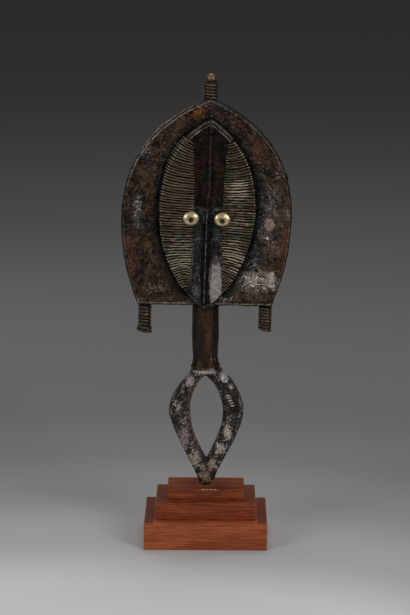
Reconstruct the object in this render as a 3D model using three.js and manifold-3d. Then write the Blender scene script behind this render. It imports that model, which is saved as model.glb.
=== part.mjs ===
// A kota reliquary figure on a stepped plinth: a wooden figure carved from one plank, its head dressed in
// hammered copper sheet, with cheeks of brass wire laid side by side.
// Millimetres, +Z up. The figure faces -Y and its own left cheek is on the +X side. The origin is the middle of
// the plinth's underside. Names say left and right as seen from the front.

import * as THREE from 'three';
import { mergeVertices } from 'three/addons/utils/BufferGeometryUtils.js';
import { ConvexGeometry } from 'three/addons/geometries/ConvexGeometry.js';
import Module from 'manifold-3d';

const wasm = await Module();
wasm.setup();

// Fits
const GAP = 0.3;              // between a piece and what it lies on
const MERGE = 1e-4;           // points closer than this are one point
const FAR = 400;              // past every surface of the head, for blocks that cut right through

// The plinth: three boards, each one ledge smaller all round than the board under it
const PLINTH_WIDTH = 150;
const PLINTH_DEPTH = 108;
const LEDGE = 14;
const LOWER_BOARD_HEIGHT = 34;
const MIDDLE_BOARD_HEIGHT = 21;
const UPPER_BOARD_HEIGHT = 13.5;
const ARRIS = 0.8;            // the worn edge of each board

// The lozenge that the figure stands on
const LOZENGE_HEIGHT = 149;   // from the plinth up to the neck's sleeve
const LOZENGE_DEPTH = 31;
const LOZENGE_LEFT = 45.6;    // half widths, to the left and to the right
const LOZENGE_RIGHT = 45.5;
const LOZENGE_WAIST = 94.5;   // height of the widest place over the plinth
const FOOT_WIDTH = 13;        // where it stands on the plinth
const FOOT_DEPTH = 19;        // it grows to its whole depth up to the height of the taper
const FOOT_TAPER = 62;
const ANKLE_LEFT = 9.4;       // half widths where the two arms have grown together
const ANKLE_RIGHT = 10.2;
const ANKLE_HEIGHT = 8;
const SHOULDER_LEFT = 15.9;   // half widths under the sleeve
const SHOULDER_RIGHT = 13.8;
const OPENING_LEFT = 20.1;    // half widths of the opening
const OPENING_RIGHT = 20.6;
const OPENING_FOOT = 30;      // lower and upper tip of the opening, over the plinth
const OPENING_TOP = 140;
const BAR_ROUNDING = 4.5;     // how far the arms' edges are rounded off
const CREASE_WIDTH = 5;       // the crease where the arms grow together, under the opening
const CREASE_DEPTH = 4;
const CREASE_LENGTH = 20;
const LOZENGE_LEFT_UPPER = { upright: 0.38, across: 0.39, up: 0.83 };
const LOZENGE_RIGHT_UPPER = { upright: 0.02, across: 0.96, up: 0.56 };
const LOZENGE_LEFT_LOWER = { upright: 0.18, across: 0.17, up: 0.98 };
const LOZENGE_RIGHT_LOWER = { upright: 0.28, across: 0.29, up: 0.83 };
const OPENING_LEFT_UPPER = { upright: 0.72, across: 0.07, up: 1.04 };
const OPENING_RIGHT_UPPER = { upright: 0.63, across: 0.18, up: 0.9 };
const OPENING_LEFT_LOWER = { upright: 0.55, across: 0.05, up: 0.87 };
const OPENING_RIGHT_LOWER = { upright: 0.3, across: 0.92, up: 0.41 };

// The neck and its sleeve of sheet, as outer radii of the sleeve from its lower rim to its top
const NECK_LENGTH = 79.5;
const NECK_SHIFT = -1.3;      // its axis stands this far across
const NECK_RIM_RADIUS = 17.6;
const NECK_WAIST_RADIUS = 14.9;
const NECK_SWELL_RADIUS = 16.4;
const NECK_TOP_RADIUS = 16;
const NECK_WAIST = 0.14;      // heights of the waist and the swell, as shares of the neck
const NECK_SWELL = 0.42;
const NECK_RIM_TILT = 3.3;    // degrees, the lower rim's right end higher
const NECK_ROOT = 9;          // how far the carved neck runs on, narrowing, into the head and the lozenge

// The head, in its own frame: across, then depth, then height over the eyes
const HEAD_LEAN = 1.7;        // degrees, its top towards +X
const HEAD_SHIFT = -0.5;      // the head's axis lies this far across, level with the eyes
const HEAD_LEFT = 100.9;      // half widths at the widest place
const HEAD_RIGHT = 100.5;
const HEAD_WAIST = 4;         // height of the widest place
const HEAD_RISE = 146;        // from the eyes up to the apex
const HEAD_DROP = 102.3;      // from the eyes down to the straight lower edge
const DROP_SLANT = 2.5;       // the lower edge's left corner hangs this much lower than its right one
const CORNER_LEFT = 79;       // half widths at the straight lower edge
const CORNER_RIGHT = 81;
const BOARD_FRONT = -8;       // the depth of the head board's front
const BOARD_THICKNESS = 19;
const EDGE_RUN = 6;           // the board's edges fall away over this width
const EDGE_FALL = 2;          // and by this depth
const CREST_LEFT_CURVE = { upright: 0.51, across: 0.58, up: 0.815 };
const CREST_RIGHT_CURVE = { upright: 0.59, across: 0.48, up: 0.86 };
const JOWL_CURVE = { upright: 0.36, across: 0.95, up: 0.62 };

// The face, a raised leaf
const FACE_RISE = 9;          // how far it stands out from the board
const FACE_WALL = 5.5;        // how far its walls run outwards
const FACE_LEFT = 55;         // half widths at the widest places, and the heights of those
const FACE_RIGHT = 56.7;
const FACE_LEFT_WAIST = 3;
const FACE_RIGHT_WAIST = 12;
const FACE_TOP = 119.8;
const FACE_DRIFT = 1.8;       // its apex lies this far to the right of its tip
const FACE_TIP = 105;         // from the eyes down to the tip
const FACE_LEFT_UPPER = { upright: 0.53, across: 0.58, up: 0.868 };
const FACE_RIGHT_UPPER = { upright: 0.395, across: 0.8, up: 0.738 };
const FACE_LEFT_LOWER = { upright: 0.16, across: 0.855, up: 0.702 };
const FACE_RIGHT_LOWER = { upright: 0.31, across: 0.633, up: 0.82 };

// The middle band and the ridge of the nose
const SHEET = 1;              // thickness of the hammered sheets
const BAND_LEFT = 15;         // half widths of the band
const BAND_RIGHT = 18.4;
const BAND_TOP_SPREAD = 3.4;  // how much wider it is, each side, at its top and at its foot
const BAND_FOOT_SPREAD = 4;
const BAND_TOP = 96;          // heights between which the wires lie
const BAND_FOOT = 81;
const BAND_LAP = 19;          // height where the nose sheet meets the forehead sheet
const RIDGE_WIDTH = 9;
const RIDGE_HEIGHT = 6;
const RIDGE_TOP = 29;         // where the ridge rises out of the band
const RIDGE_FULL = 2;         // where it has its full height
const RIDGE_DRIFT = 3;        // the ridge's top lies this far to the right of its tip
const RIDGE_FOOT = 97;        // below this it narrows to the tip of the face

// The folded edging along the top of the face
const EDGING_WIDTH = 2.8;
const EDGING_RISE = 1.6;
const EDGING_END = 99;        // height where it stops, each side

// The wires of the cheeks
const WIRE_ROWS = 57;
const WIRE_RISE = 2.4;        // from the wood to the top of a wire
const WIRE_GROOVE = 1.1;      // from the wood to the groove between two wires
const WIRE_SLOPE = 0.19;      // the top wires rise outwards by this share of their length, the last ones fall
const WIRE_BOW = 1.6;         // the wires arch up by this much in their middle, at the foot
const WIRE_OVERHANG = 0.8;    // past the edge of the face

// The eyes
const EYE_WIDTH = 20;
const EYE_HEIGHT = 17;
const EYE_DOME = 4.6;
const EYE_APART = 37.4;
const EYE_LEVEL = 4.6;
const NAIL_RADIUS = 1.9;
const NAIL_DROP = 1.2;        // the nail sits this much below the middle of the disc
const NAIL_STANDS = 0.7;      // proud of the disc
const NAIL_SUNK = 1.6;

// The seams of the surround, as seen from the front
const SEAM_CREST_LEFT = 54;   // the left crest sheet ends at an upright seam this far out
const SEAM_CREST_RIGHT = 57;  // the right one at a level seam this high
const HEM = 7;                // how far the sheets are folded over the back

// The stubs and their windings
const COIL_WIRE = 3;
const FINIAL_RADIUS = 9.2;
const FINIAL_TOP = 167.5;     // height of its wound part
const FINIAL_TURNS = 7;
const CAP_RADIUS = 6.3;
const CAP_HEIGHT = 8.7;
const STUB_RADIUS = 8.2;
const STUB_LEFT = 71.1;       // how far out the two lower stubs hang
const STUB_RIGHT = 75;
const STUB_LEFT_LENGTH = 36.8; // below the sheets' hem
const STUB_RIGHT_LENGTH = 32.6;
const STUB_LEFT_TURNS = 9;
const STUB_RIGHT_TURNS = 9;
const LOOSE_TURNS = 2;        // the last turns of the left stub are wider
const LOOSE_BY = 1.4;

// Worked out from the above
const FIGURE_FOOT = LOWER_BOARD_HEIGHT + MIDDLE_BOARD_HEIGHT + UPPER_BOARD_HEIGHT;
const SLEEVE_FOOT = FIGURE_FOOT + LOZENGE_HEIGHT;
const HEAD_LEVEL = SLEEVE_FOOT + NECK_LENGTH + HEAD_DROP;
const BOARD_BACK = BOARD_FRONT + BOARD_THICKNESS;
const BOARD_MIDDLE = (BOARD_FRONT + BOARD_BACK) / 2;
const FACE_FRONT = BOARD_FRONT - FACE_RISE;
const SKIN = GAP + SHEET;
const ROUND_STEPS = 12;

// Finishes
const finish = (color, metalness, roughness) => new THREE.MeshStandardMaterial({ color, metalness, roughness });
const mahoganyDark = finish(0x5a2a1e, 0, 0.5);
const mahoganyBrown = finish(0x74361f, 0, 0.5);
const mahoganyWarm = finish(0x7f4327, 0, 0.5);
const oldWood = finish(0x40352e, 0, 0.8);
const darkCopper = finish(0x4a3226, 0.8, 0.5);
const blackCopper = finish(0x2b2523, 0.8, 0.45);
const wireBrass = finish(0x7d6a48, 0.9, 0.4);
const eyeBrass = finish(0xd8c48a, 0.95, 0.3);
const iron = finish(0x231f1c, 0.8, 0.6);

// Solids

// The solid inside a closed geometry.
function solid(geometry) {
  const bare = geometry.clone();
  bare.deleteAttribute('normal');
  bare.deleteAttribute('uv');
  const merged = mergeVertices(bare, MERGE);
  const corners = merged.index.array;
  const kept = [];
  for (let k = 0; k < corners.length; k += 3) {
    const [a, b, c] = corners.subarray(k, k + 3);
    if (a !== b && b !== c && c !== a) kept.push(a, b, c);
  }
  const vertProperties = Float32Array.from(merged.attributes.position.array);
  return new wasm.Manifold(new wasm.Mesh({ numProp: 3, vertProperties, triVerts: Uint32Array.from(kept) }));
}

// The geometry of a solid, with flat faces.
function surface(body) {
  const mesh = body.getMesh();
  const geometry = new THREE.BufferGeometry();
  geometry.setAttribute('position', new THREE.BufferAttribute(mesh.vertProperties, 3));
  geometry.setIndex(new THREE.BufferAttribute(mesh.triVerts, 1));
  geometry.computeVertexNormals();
  return geometry;
}

// A slab whose outline is drawn as seen from the front. Its rim may be sloped or rounded over the run and the
// fall of its edge, and its outline may be grown.
function slab(outline, front, back, { run = 0, fall = 0, steps = 1, grow = 0, segments = 8 } = {}) {
  const geometry = new THREE.ExtrudeGeometry(outline, {
    depth: back - front - 2 * fall,
    bevelEnabled: run > 0 || grow !== 0,
    bevelThickness: fall,
    bevelSize: run,
    bevelOffset: grow - run,
    bevelSegments: steps,
    curveSegments: segments,
  });
  geometry.translate(0, 0, fall);
  geometry.rotateX(Math.PI / 2);
  geometry.translate(0, back, 0);
  return solid(geometry);
}

// A block between two corners.
function block(low, high) {
  const geometry = new THREE.BoxGeometry(high[0] - low[0], high[1] - low[1], high[2] - low[2]);
  geometry.translate((low[0] + high[0]) / 2, (low[1] + high[1]) / 2, (low[2] + high[2]) / 2);
  return solid(geometry);
}

// A turned piece about Z: its profile is [radius, height], from the foot up, and down again if it is a ring.
function turned(profile, { closed = false, sides = ROUND_STEPS } = {}) {
  const points = profile.map(([radius, height]) => new THREE.Vector2(radius, height));
  if (closed) points.push(points[0].clone());
  const geometry = new THREE.LatheGeometry(points, sides);
  geometry.rotateX(Math.PI / 2);
  return geometry;
}

// One quarter of a leaf, from its widest point to its end: half is the half width at the widest, end the half
// width at the end, rise is positive upwards. The curve leaves upright, and its handles are shares of both.
function quarter(half, end, waist, rise, curve) {
  return new THREE.CubicBezierCurve(
    new THREE.Vector2(half, waist),
    new THREE.Vector2(half, waist + rise * curve.upright),
    new THREE.Vector2(half * curve.across, waist + rise * curve.up),
    new THREE.Vector2(end, waist + rise),
  );
}

// Draws a quarter into an outline, outwards to its end or back from it.
function draw(outline, curve, backwards = false) {
  const [a, b, c, d] = [curve.v0, curve.v1, curve.v2, curve.v3];
  if (backwards) outline.bezierCurveTo(c.x, c.y, b.x, b.y, a.x, a.y);
  else outline.bezierCurveTo(b.x, b.y, c.x, c.y, d.x, d.y);
}

// The plinth

function board(width, depth, foot, height) {
  const outline = new THREE.Shape();
  outline.moveTo(-width / 2, -depth / 2);
  outline.lineTo(width / 2, -depth / 2);
  outline.lineTo(width / 2, depth / 2);
  outline.lineTo(-width / 2, depth / 2);
  outline.closePath();
  const geometry = new THREE.ExtrudeGeometry(outline, {
    depth: height - 2 * ARRIS,
    bevelThickness: ARRIS,
    bevelSize: ARRIS,
    bevelOffset: -ARRIS,
    bevelSegments: 1,
  });
  geometry.translate(0, 0, foot + ARRIS);
  return geometry;
}

function plinthBoard(step, foot, height) {
  return board(PLINTH_WIDTH - 2 * step * LEDGE, PLINTH_DEPTH - 2 * step * LEDGE, foot, height);
}

// Outlines of the head

function headOutline() {
  const leftCrest = quarter(-HEAD_LEFT, 0, HEAD_WAIST, HEAD_RISE - HEAD_WAIST, CREST_LEFT_CURVE);
  const rightCrest = quarter(HEAD_RIGHT, 0, HEAD_WAIST, HEAD_RISE - HEAD_WAIST, CREST_RIGHT_CURVE);
  const leftDrop = HEAD_DROP + DROP_SLANT / 2;
  const rightDrop = HEAD_DROP - DROP_SLANT / 2;
  const leftJowl = quarter(-HEAD_LEFT, -CORNER_LEFT, HEAD_WAIST, -leftDrop - HEAD_WAIST, JOWL_CURVE);
  const rightJowl = quarter(HEAD_RIGHT, CORNER_RIGHT, HEAD_WAIST, -rightDrop - HEAD_WAIST, JOWL_CURVE);
  const outline = new THREE.Shape();
  outline.moveTo(-CORNER_LEFT, -leftDrop);
  outline.lineTo(CORNER_RIGHT, -rightDrop);
  draw(outline, rightJowl, true);
  draw(outline, rightCrest);
  draw(outline, leftCrest, true);
  draw(outline, leftJowl);
  return outline;
}

const faceCurves = {
  leftUpper: quarter(-FACE_LEFT, FACE_DRIFT, FACE_LEFT_WAIST, FACE_TOP - FACE_LEFT_WAIST, FACE_LEFT_UPPER),
  rightUpper: quarter(FACE_RIGHT, FACE_DRIFT, FACE_RIGHT_WAIST, FACE_TOP - FACE_RIGHT_WAIST, FACE_RIGHT_UPPER),
  leftLower: quarter(-FACE_LEFT, 0, FACE_LEFT_WAIST, -FACE_TIP - FACE_LEFT_WAIST, FACE_LEFT_LOWER),
  rightLower: quarter(FACE_RIGHT, 0, FACE_RIGHT_WAIST, -FACE_TIP - FACE_RIGHT_WAIST, FACE_RIGHT_LOWER),
};

function faceOutline() {
  const outline = new THREE.Shape();
  outline.moveTo(0, -FACE_TIP);
  draw(outline, faceCurves.rightLower, true);
  draw(outline, faceCurves.rightUpper);
  draw(outline, faceCurves.leftUpper, true);
  draw(outline, faceCurves.leftLower);
  return outline;
}

// The place across of the face's edge at a height, on the left or right side.
function faceEdge(side, height) {
  const waist = side < 0 ? FACE_LEFT_WAIST : FACE_RIGHT_WAIST;
  const name = (side < 0 ? 'left' : 'right') + (height > waist ? 'Upper' : 'Lower');
  const curve = faceCurves[name];
  let low = 0;
  let high = 1;
  for (let step = 0; step < 30; step += 1) {
    const middle = (low + high) / 2;
    const past = Math.abs(curve.getPoint(middle).y - waist) > Math.abs(height - waist);
    if (past) high = middle;
    else low = middle;
  }
  return curve.getPoint(low).x;
}

// The place across of the band's edge at a height: straight sides that spread at the top and at the foot.
function bandEdge(side, height) {
  const half = side < 0 ? BAND_LEFT : BAND_RIGHT;
  const top = BAND_TOP_SPREAD * Math.max(0, height / BAND_TOP) ** 2;
  const foot = BAND_FOOT_SPREAD * Math.max(0, -height / BAND_FOOT) ** 2;
  return side * (half + top + foot);
}

// The area of the face's sheets, as seen from the front: the band, all above it and all below it. From the
// band's corners its edges run outwards with the slope of the first and the last wire.
function bandOutline() {
  const outline = new THREE.Shape();
  const levels = 12;
  const low = -BAND_FOOT - GAP;
  const high = BAND_TOP + GAP;
  const level = (k) => low + (high - low) * (k / levels);
  outline.moveTo(-FAR, -FAR);
  outline.lineTo(FAR, -FAR);
  outline.lineTo(FAR, low - WIRE_SLOPE * (FAR - bandEdge(1, low)));
  for (let k = 0; k <= levels; k += 1) outline.lineTo(bandEdge(1, level(k)), level(k));
  outline.lineTo(FAR, high + WIRE_SLOPE * (FAR - bandEdge(1, high)));
  outline.lineTo(FAR, FAR);
  outline.lineTo(-FAR, FAR);
  outline.lineTo(-FAR, high + WIRE_SLOPE * (FAR + bandEdge(-1, high)));
  for (let k = levels; k >= 0; k -= 1) outline.lineTo(bandEdge(-1, level(k)), level(k));
  outline.lineTo(-FAR, low - WIRE_SLOPE * (FAR + bandEdge(-1, low)));
  outline.closePath();
  return outline;
}

// Solids of the head, in its own frame

const headBoard = (grow) => slab(headOutline(), BOARD_FRONT - grow, BOARD_BACK + grow, {
  run: EDGE_RUN, fall: EDGE_FALL, steps: 2, grow,
});

// The raised leaf of the face, its back sunk into the board.
function faceLeaf(grow) {
  const leaf = slab(faceOutline(), FACE_FRONT - grow, BOARD_MIDDLE + 2 * FACE_RISE, {
    run: FACE_WALL, fall: FACE_RISE, grow: grow + FACE_WALL,
  });
  return leaf.intersect(block([-FAR, -FAR, -FAR], [FAR, BOARD_MIDDLE, FAR]));
}

// The ridge of the nose, from where it rises out of the band down to the tip of the face.
function ridge(grow) {
  const half = RIDGE_WIDTH / 2 + grow;
  const root = FACE_FRONT + RIDGE_HEIGHT / 2;
  const crest = FACE_FRONT - RIDGE_HEIGHT - grow;
  const shift = (height) => RIDGE_DRIFT * (height + RIDGE_FOOT) / (RIDGE_TOP + RIDGE_FOOT);
  const points = [];
  for (const height of [RIDGE_FULL, -RIDGE_FOOT]) {
    const middle = shift(height);
    points.push(new THREE.Vector3(middle - half, root, height));
    points.push(new THREE.Vector3(middle - half, FACE_FRONT - grow, height));
    points.push(new THREE.Vector3(middle, crest, height));
    points.push(new THREE.Vector3(middle + half, FACE_FRONT - grow, height));
    points.push(new THREE.Vector3(middle + half, root, height));
  }
  points.push(new THREE.Vector3(shift(RIDGE_TOP), FACE_FRONT - grow, RIDGE_TOP + grow));
  points.push(new THREE.Vector3(shift(RIDGE_TOP), root, RIDGE_TOP + grow));
  points.push(new THREE.Vector3(0, FACE_FRONT - grow, -FACE_TIP + SHEET - grow));
  points.push(new THREE.Vector3(0, root, -FACE_TIP + SHEET - grow));
  return solid(new ConvexGeometry(points));
}

// A wooden stub along the head's height, between two levels.
function stub(across, radius, low, high) {
  const geometry = turned([[0, low], [radius, low], [radius, high], [0, high]]);
  geometry.translate(across, BOARD_MIDDLE, 0);
  return solid(geometry);
}

// The height of the head's lower edge at a place across.
function lowerEdge(across) {
  const middle = (CORNER_RIGHT - CORNER_LEFT) / 2;
  return -HEAD_DROP + DROP_SLANT * (across - middle) / (CORNER_LEFT + CORNER_RIGHT);
}

const stubFoot = (across, length) => lowerEdge(across) - SKIN - length;
const hangingStub = (across, length, grow) => stub(
  across, STUB_RADIUS - COIL_WIRE - GAP + grow, stubFoot(across, length), lowerEdge(across) + EDGE_RUN,
);
const stubs = (grow) => [
  stub(0, FINIAL_RADIUS - COIL_WIRE - GAP + grow, HEAD_RISE - EDGE_RUN * 2, FINIAL_TOP),
  hangingStub(-STUB_LEFT, STUB_LEFT_LENGTH, grow),
  hangingStub(STUB_RIGHT, STUB_RIGHT_LENGTH, grow),
];

// Places the head's frame in the figure's.
const headPlace = new THREE.Matrix4().makeRotationY(THREE.MathUtils.degToRad(HEAD_LEAN));
headPlace.setPosition(HEAD_SHIFT, 0, HEAD_LEVEL);

// The neck, as the sleeve's outer profile drawn in by a depth.
function neckProfile(inset) {
  return [
    [NECK_RIM_RADIUS - inset, SLEEVE_FOOT],
    [(NECK_RIM_RADIUS + NECK_WAIST_RADIUS) / 2 - inset, SLEEVE_FOOT + (NECK_WAIST / 3) * NECK_LENGTH],
    [NECK_WAIST_RADIUS - inset, SLEEVE_FOOT + NECK_WAIST * NECK_LENGTH],
    [NECK_SWELL_RADIUS - inset, SLEEVE_FOOT + NECK_SWELL * NECK_LENGTH],
    [NECK_TOP_RADIUS - inset, SLEEVE_FOOT + NECK_LENGTH],
  ];
}

function neckWood(grow) {
  const profile = neckProfile(SKIN - grow);
  const foot = profile[0];
  const top = profile[profile.length - 1];
  const geometry = turned([
    [0, foot[1] - NECK_ROOT],
    [foot[0] - NECK_ROOT, foot[1] - NECK_ROOT],
    ...profile,
    [top[0] - NECK_ROOT, top[1] + NECK_ROOT],
    [0, top[1] + NECK_ROOT],
  ], { sides: 2 * ROUND_STEPS });
  geometry.translate(NECK_SHIFT, 0, 0);
  return solid(geometry);
}

// The lozenge

function lozengeOutline() {
  const left = [-LOZENGE_LEFT, LOZENGE_WAIST + FIGURE_FOOT];
  const right = [LOZENGE_RIGHT, LOZENGE_WAIST + FIGURE_FOOT];
  const up = LOZENGE_HEIGHT - LOZENGE_WAIST;
  const down = LOZENGE_WAIST - ANKLE_HEIGHT;
  const leftUpper = quarter(left[0], -SHOULDER_LEFT, left[1], up, LOZENGE_LEFT_UPPER);
  const rightUpper = quarter(right[0], SHOULDER_RIGHT, right[1], up, LOZENGE_RIGHT_UPPER);
  const leftLower = quarter(left[0], -ANKLE_LEFT, left[1], -down, LOZENGE_LEFT_LOWER);
  const rightLower = quarter(right[0], ANKLE_RIGHT, right[1], -down, LOZENGE_RIGHT_LOWER);
  const outline = new THREE.Shape();
  outline.moveTo(-FOOT_WIDTH / 2, FIGURE_FOOT);
  outline.lineTo(FOOT_WIDTH / 2, FIGURE_FOOT);
  outline.lineTo(ANKLE_RIGHT, FIGURE_FOOT + ANKLE_HEIGHT);
  draw(outline, rightLower, true);
  draw(outline, rightUpper);
  outline.lineTo(-SHOULDER_LEFT, FIGURE_FOOT + LOZENGE_HEIGHT);
  draw(outline, leftUpper, true);
  draw(outline, leftLower);
  return outline;
}

function openingOutline() {
  const waist = FIGURE_FOOT + LOZENGE_WAIST;
  const up = OPENING_TOP - LOZENGE_WAIST;
  const down = LOZENGE_WAIST - OPENING_FOOT;
  const leftUpper = quarter(-OPENING_LEFT, 0, waist, up, OPENING_LEFT_UPPER);
  const rightUpper = quarter(OPENING_RIGHT, 0, waist, up, OPENING_RIGHT_UPPER);
  const leftLower = quarter(-OPENING_LEFT, 0, waist, -down, OPENING_LEFT_LOWER);
  const rightLower = quarter(OPENING_RIGHT, 0, waist, -down, OPENING_RIGHT_LOWER);
  const opening = new THREE.Shape();
  opening.moveTo(0, FIGURE_FOOT + OPENING_FOOT);
  draw(opening, leftLower, true);
  draw(opening, leftUpper);
  draw(opening, rightUpper, true);
  draw(opening, rightLower);
  return opening;
}

// The crease under the opening, on the front (side -1) or the back (side 1), deepest at the opening.
function crease(side) {
  const face = side * LOZENGE_DEPTH / 2;
  const top = FIGURE_FOOT + OPENING_FOOT;
  const out = side * CREASE_DEPTH;
  return solid(new ConvexGeometry([
    new THREE.Vector3(-CREASE_WIDTH / 2, face + out, top),
    new THREE.Vector3(CREASE_WIDTH / 2, face + out, top),
    new THREE.Vector3(-CREASE_WIDTH / 2, face, top),
    new THREE.Vector3(CREASE_WIDTH / 2, face, top),
    new THREE.Vector3(0, face - out, top),
    new THREE.Vector3(0, face, top - CREASE_LENGTH),
    new THREE.Vector3(0, face + out, top - CREASE_LENGTH),
  ]));
}

// Narrows the lozenge from front to back towards its foot.
function tapered(geometry) {
  const place = geometry.attributes.position;
  const least = FOOT_DEPTH / LOZENGE_DEPTH;
  for (let k = 0; k < place.count; k += 1) {
    const share = Math.min(1, Math.max(0, (place.getZ(k) - FIGURE_FOOT) / FOOT_TAPER));
    place.setY(k, place.getY(k) * (least + (1 - least) * share));
  }
  return geometry;
}

// The lozenge, its outer edges rounded and the edges of its opening chamfered.
function lozenge() {
  const front = -LOZENGE_DEPTH / 2;
  const back = LOZENGE_DEPTH / 2;
  const chamfer = { run: BAR_ROUNDING, fall: BAR_ROUNDING, grow: BAR_ROUNDING };
  const outer = slab(lozengeOutline(), front, back, { run: BAR_ROUNDING, fall: BAR_ROUNDING, steps: 2 });
  const opening = slab(openingOutline(), front - BAR_ROUNDING, back + BAR_ROUNDING);
  const frontFlare = slab(openingOutline(), front - 2 * BAR_ROUNDING, front + BAR_ROUNDING, chamfer);
  const backFlare = slab(openingOutline(), back - BAR_ROUNDING, back + 2 * BAR_ROUNDING, chamfer);
  const carved = outer.subtract(opening).subtract(frontFlare).subtract(backFlare);
  return solid(tapered(surface(carved.subtract(crease(-1)).subtract(crease(1)))));
}

// The wooden figure, carved as one

function woodenFigure() {
  let head = headBoard(0).add(faceLeaf(0)).add(ridge(0));
  for (const each of stubs(0)) head = head.add(each);
  const placed = solid(surface(head).applyMatrix4(headPlace));
  return placed.add(neckWood(0)).add(lozenge());
}

// The neck's sleeve, its rim cut aslant, notched where the tip of the face hangs over it.
function neckSheet() {
  const outer = neckProfile(0);
  const inner = neckProfile(SHEET).reverse();
  const hem = surface(headBoard(SKIN + GAP).add(faceLeaf(SKIN + GAP))).applyMatrix4(headPlace);
  const sleeve = turned([...outer, ...inner], { closed: true, sides: 2 * ROUND_STEPS });
  sleeve.translate(NECK_SHIFT, 0, 0);
  const tilt = THREE.MathUtils.degToRad(NECK_RIM_TILT);
  const upright = new THREE.Vector3(-Math.sin(tilt), 0, Math.cos(tilt));
  const low = new THREE.Vector3(NECK_SHIFT - NECK_RIM_RADIUS, 0, SLEEVE_FOOT + GAP);
  return solid(sleeve).subtract(solid(hem)).trimByPlane(upright.toArray(), upright.dot(low));
}

// The sheets of the surround: a skin over the board's front and rim, folded over its back.
function surroundSkin() {
  const window = slab(headOutline(), BOARD_BACK, BOARD_BACK + 2 * SKIN, { grow: -HEM });
  let skin = headBoard(SKIN).subtract(headBoard(GAP)).subtract(faceLeaf(GAP)).subtract(window);
  for (const each of stubs(GAP)) skin = skin.subtract(each);
  const neck = surface(neckWood(GAP)).applyMatrix4(headPlace.clone().invert());
  return skin.subtract(solid(neck));
}

function surroundSheet(skin, [lowX, lowZ], [highX, highZ]) {
  return skin.intersect(block([lowX, -FAR, lowZ], [highX, FAR, highZ]));
}

// The two sheets of the face's band, over the leaf and the ridge, between two heights.
function bandSheet(low, high) {
  const leaf = slab(faceOutline(), FACE_FRONT - SKIN, FACE_FRONT - GAP);
  const band = slab(bandOutline(), FACE_FRONT - 2 * SKIN, FACE_FRONT, { segments: 1 });
  const flat = leaf.intersect(band);
  const rounded = flat.add(ridge(SKIN)).subtract(ridge(GAP));
  const level = block([-FAR, -FAR, low], [FAR, FACE_FRONT - GAP, high]);
  return rounded.intersect(level);
}

// The folded edging that lies on the forehead sheet along the face's upper edges.
function edging() {
  const back = FACE_FRONT - SKIN - GAP;
  const outer = slab(faceOutline(), back - EDGING_RISE, back);
  const inner = slab(faceOutline(), back - 2 * EDGING_RISE, back + GAP, { grow: -EDGING_WIDTH });
  return outer.subtract(inner).intersect(block([-FAR, -FAR, EDGING_END], [FAR, FAR, FAR]));
}

// The height of a wire's outer end, which lies on the face's edge, for its start and its slope outwards.
function wireEnd(side, start, inner, slope) {
  let outer = inner;
  for (let step = 0; step < 12; step += 1) {
    outer = inner + slope * (Math.abs(faceEdge(side, outer)) - Math.abs(start));
  }
  return outer;
}

// The wires of one cheek, side by side and fused: a flat back, and one crest for each wire.
function cheekWires(side) {
  const back = FACE_FRONT - GAP;
  const lines = 2 * WIRE_ROWS;
  const positions = [];
  const index = [];
  for (let k = 0; k <= lines; k += 1) {
    const share = k / lines;
    const inner = BAND_TOP - (BAND_TOP + BAND_FOOT) * share;
    const bow = WIRE_BOW * share * share;
    const start = bandEdge(side, inner) + side * GAP;
    const outer = wireEnd(side, start, inner, WIRE_SLOPE * (1 - 2 * share));
    const end = faceEdge(side, outer) + side * WIRE_OVERHANG;
    const front = FACE_FRONT - (k % 2 === 1 ? WIRE_RISE : WIRE_GROOVE);
    positions.push(start, back, inner, end, back, outer);
    positions.push(start, front, inner, (start + end) / 2, front, (inner + outer) / 2 + bow, end, front, outer);
  }
  const quad = (a, b, c, d) => {
    if (side < 0) index.push(a, c, b, a, d, c);
    else index.push(a, b, c, a, c, d);
  };
  for (let k = 0; k < lines; k += 1) {
    const here = 5 * k;
    const next = here + 5;
    quad(here + 2, next + 2, next + 3, here + 3);
    quad(here + 3, next + 3, next + 4, here + 4);
    quad(here + 4, next + 4, next + 1, here + 1);
    quad(here + 1, next + 1, next, here);
    quad(here, next, next + 2, here + 2);
  }
  const last = 5 * lines;
  const cap = (at, turn) => {
    for (const [b, c] of [[2, 3], [3, 4], [4, 1]]) {
      if (turn) index.push(at, at + c, at + b);
      else index.push(at, at + b, at + c);
    }
  };
  cap(0, side < 0);
  cap(last, side > 0);
  const geometry = new THREE.BufferGeometry();
  geometry.setAttribute('position', new THREE.Float32BufferAttribute(positions, 3));
  geometry.setIndex(index);
  return geometry;
}

// A nail head, its axis towards the front.
function nail(grow) {
  const radius = NAIL_RADIUS + grow;
  const height = NAIL_SUNK + NAIL_STANDS;
  return turned([[0, -grow], [radius, -grow], [radius, height - NAIL_STANDS], [radius / 2, height], [0, height]], {
    sides: 10,
  });
}

const eyeBack = FACE_FRONT - WIRE_RISE - GAP;

function placedNail(side, grow) {
  const geometry = nail(grow);
  geometry.rotateX(Math.PI / 2);
  geometry.translate(side * EYE_APART / 2, eyeBack - EYE_DOME + NAIL_SUNK, EYE_LEVEL - NAIL_DROP);
  return solid(geometry);
}

// A domed disc over the wires and the band.
function eyeDisc(side) {
  const profile = [[0, 0], [1, 0]];
  const rings = 5;
  for (let k = 0; k < rings; k += 1) {
    const turn = (k / rings) * Math.PI / 2;
    profile.push([Math.cos(turn) ** 0.8, 0.14 * EYE_DOME + 0.86 * EYE_DOME * Math.sin(turn)]);
  }
  profile.push([0, EYE_DOME]);
  const geometry = turned(profile, { sides: 24 });
  geometry.rotateX(Math.PI / 2);
  geometry.scale(EYE_WIDTH / 2, 1, EYE_HEIGHT / 2);
  geometry.translate(side * EYE_APART / 2, eyeBack, EYE_LEVEL);
  return solid(geometry).subtract(placedNail(side, GAP));
}

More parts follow.
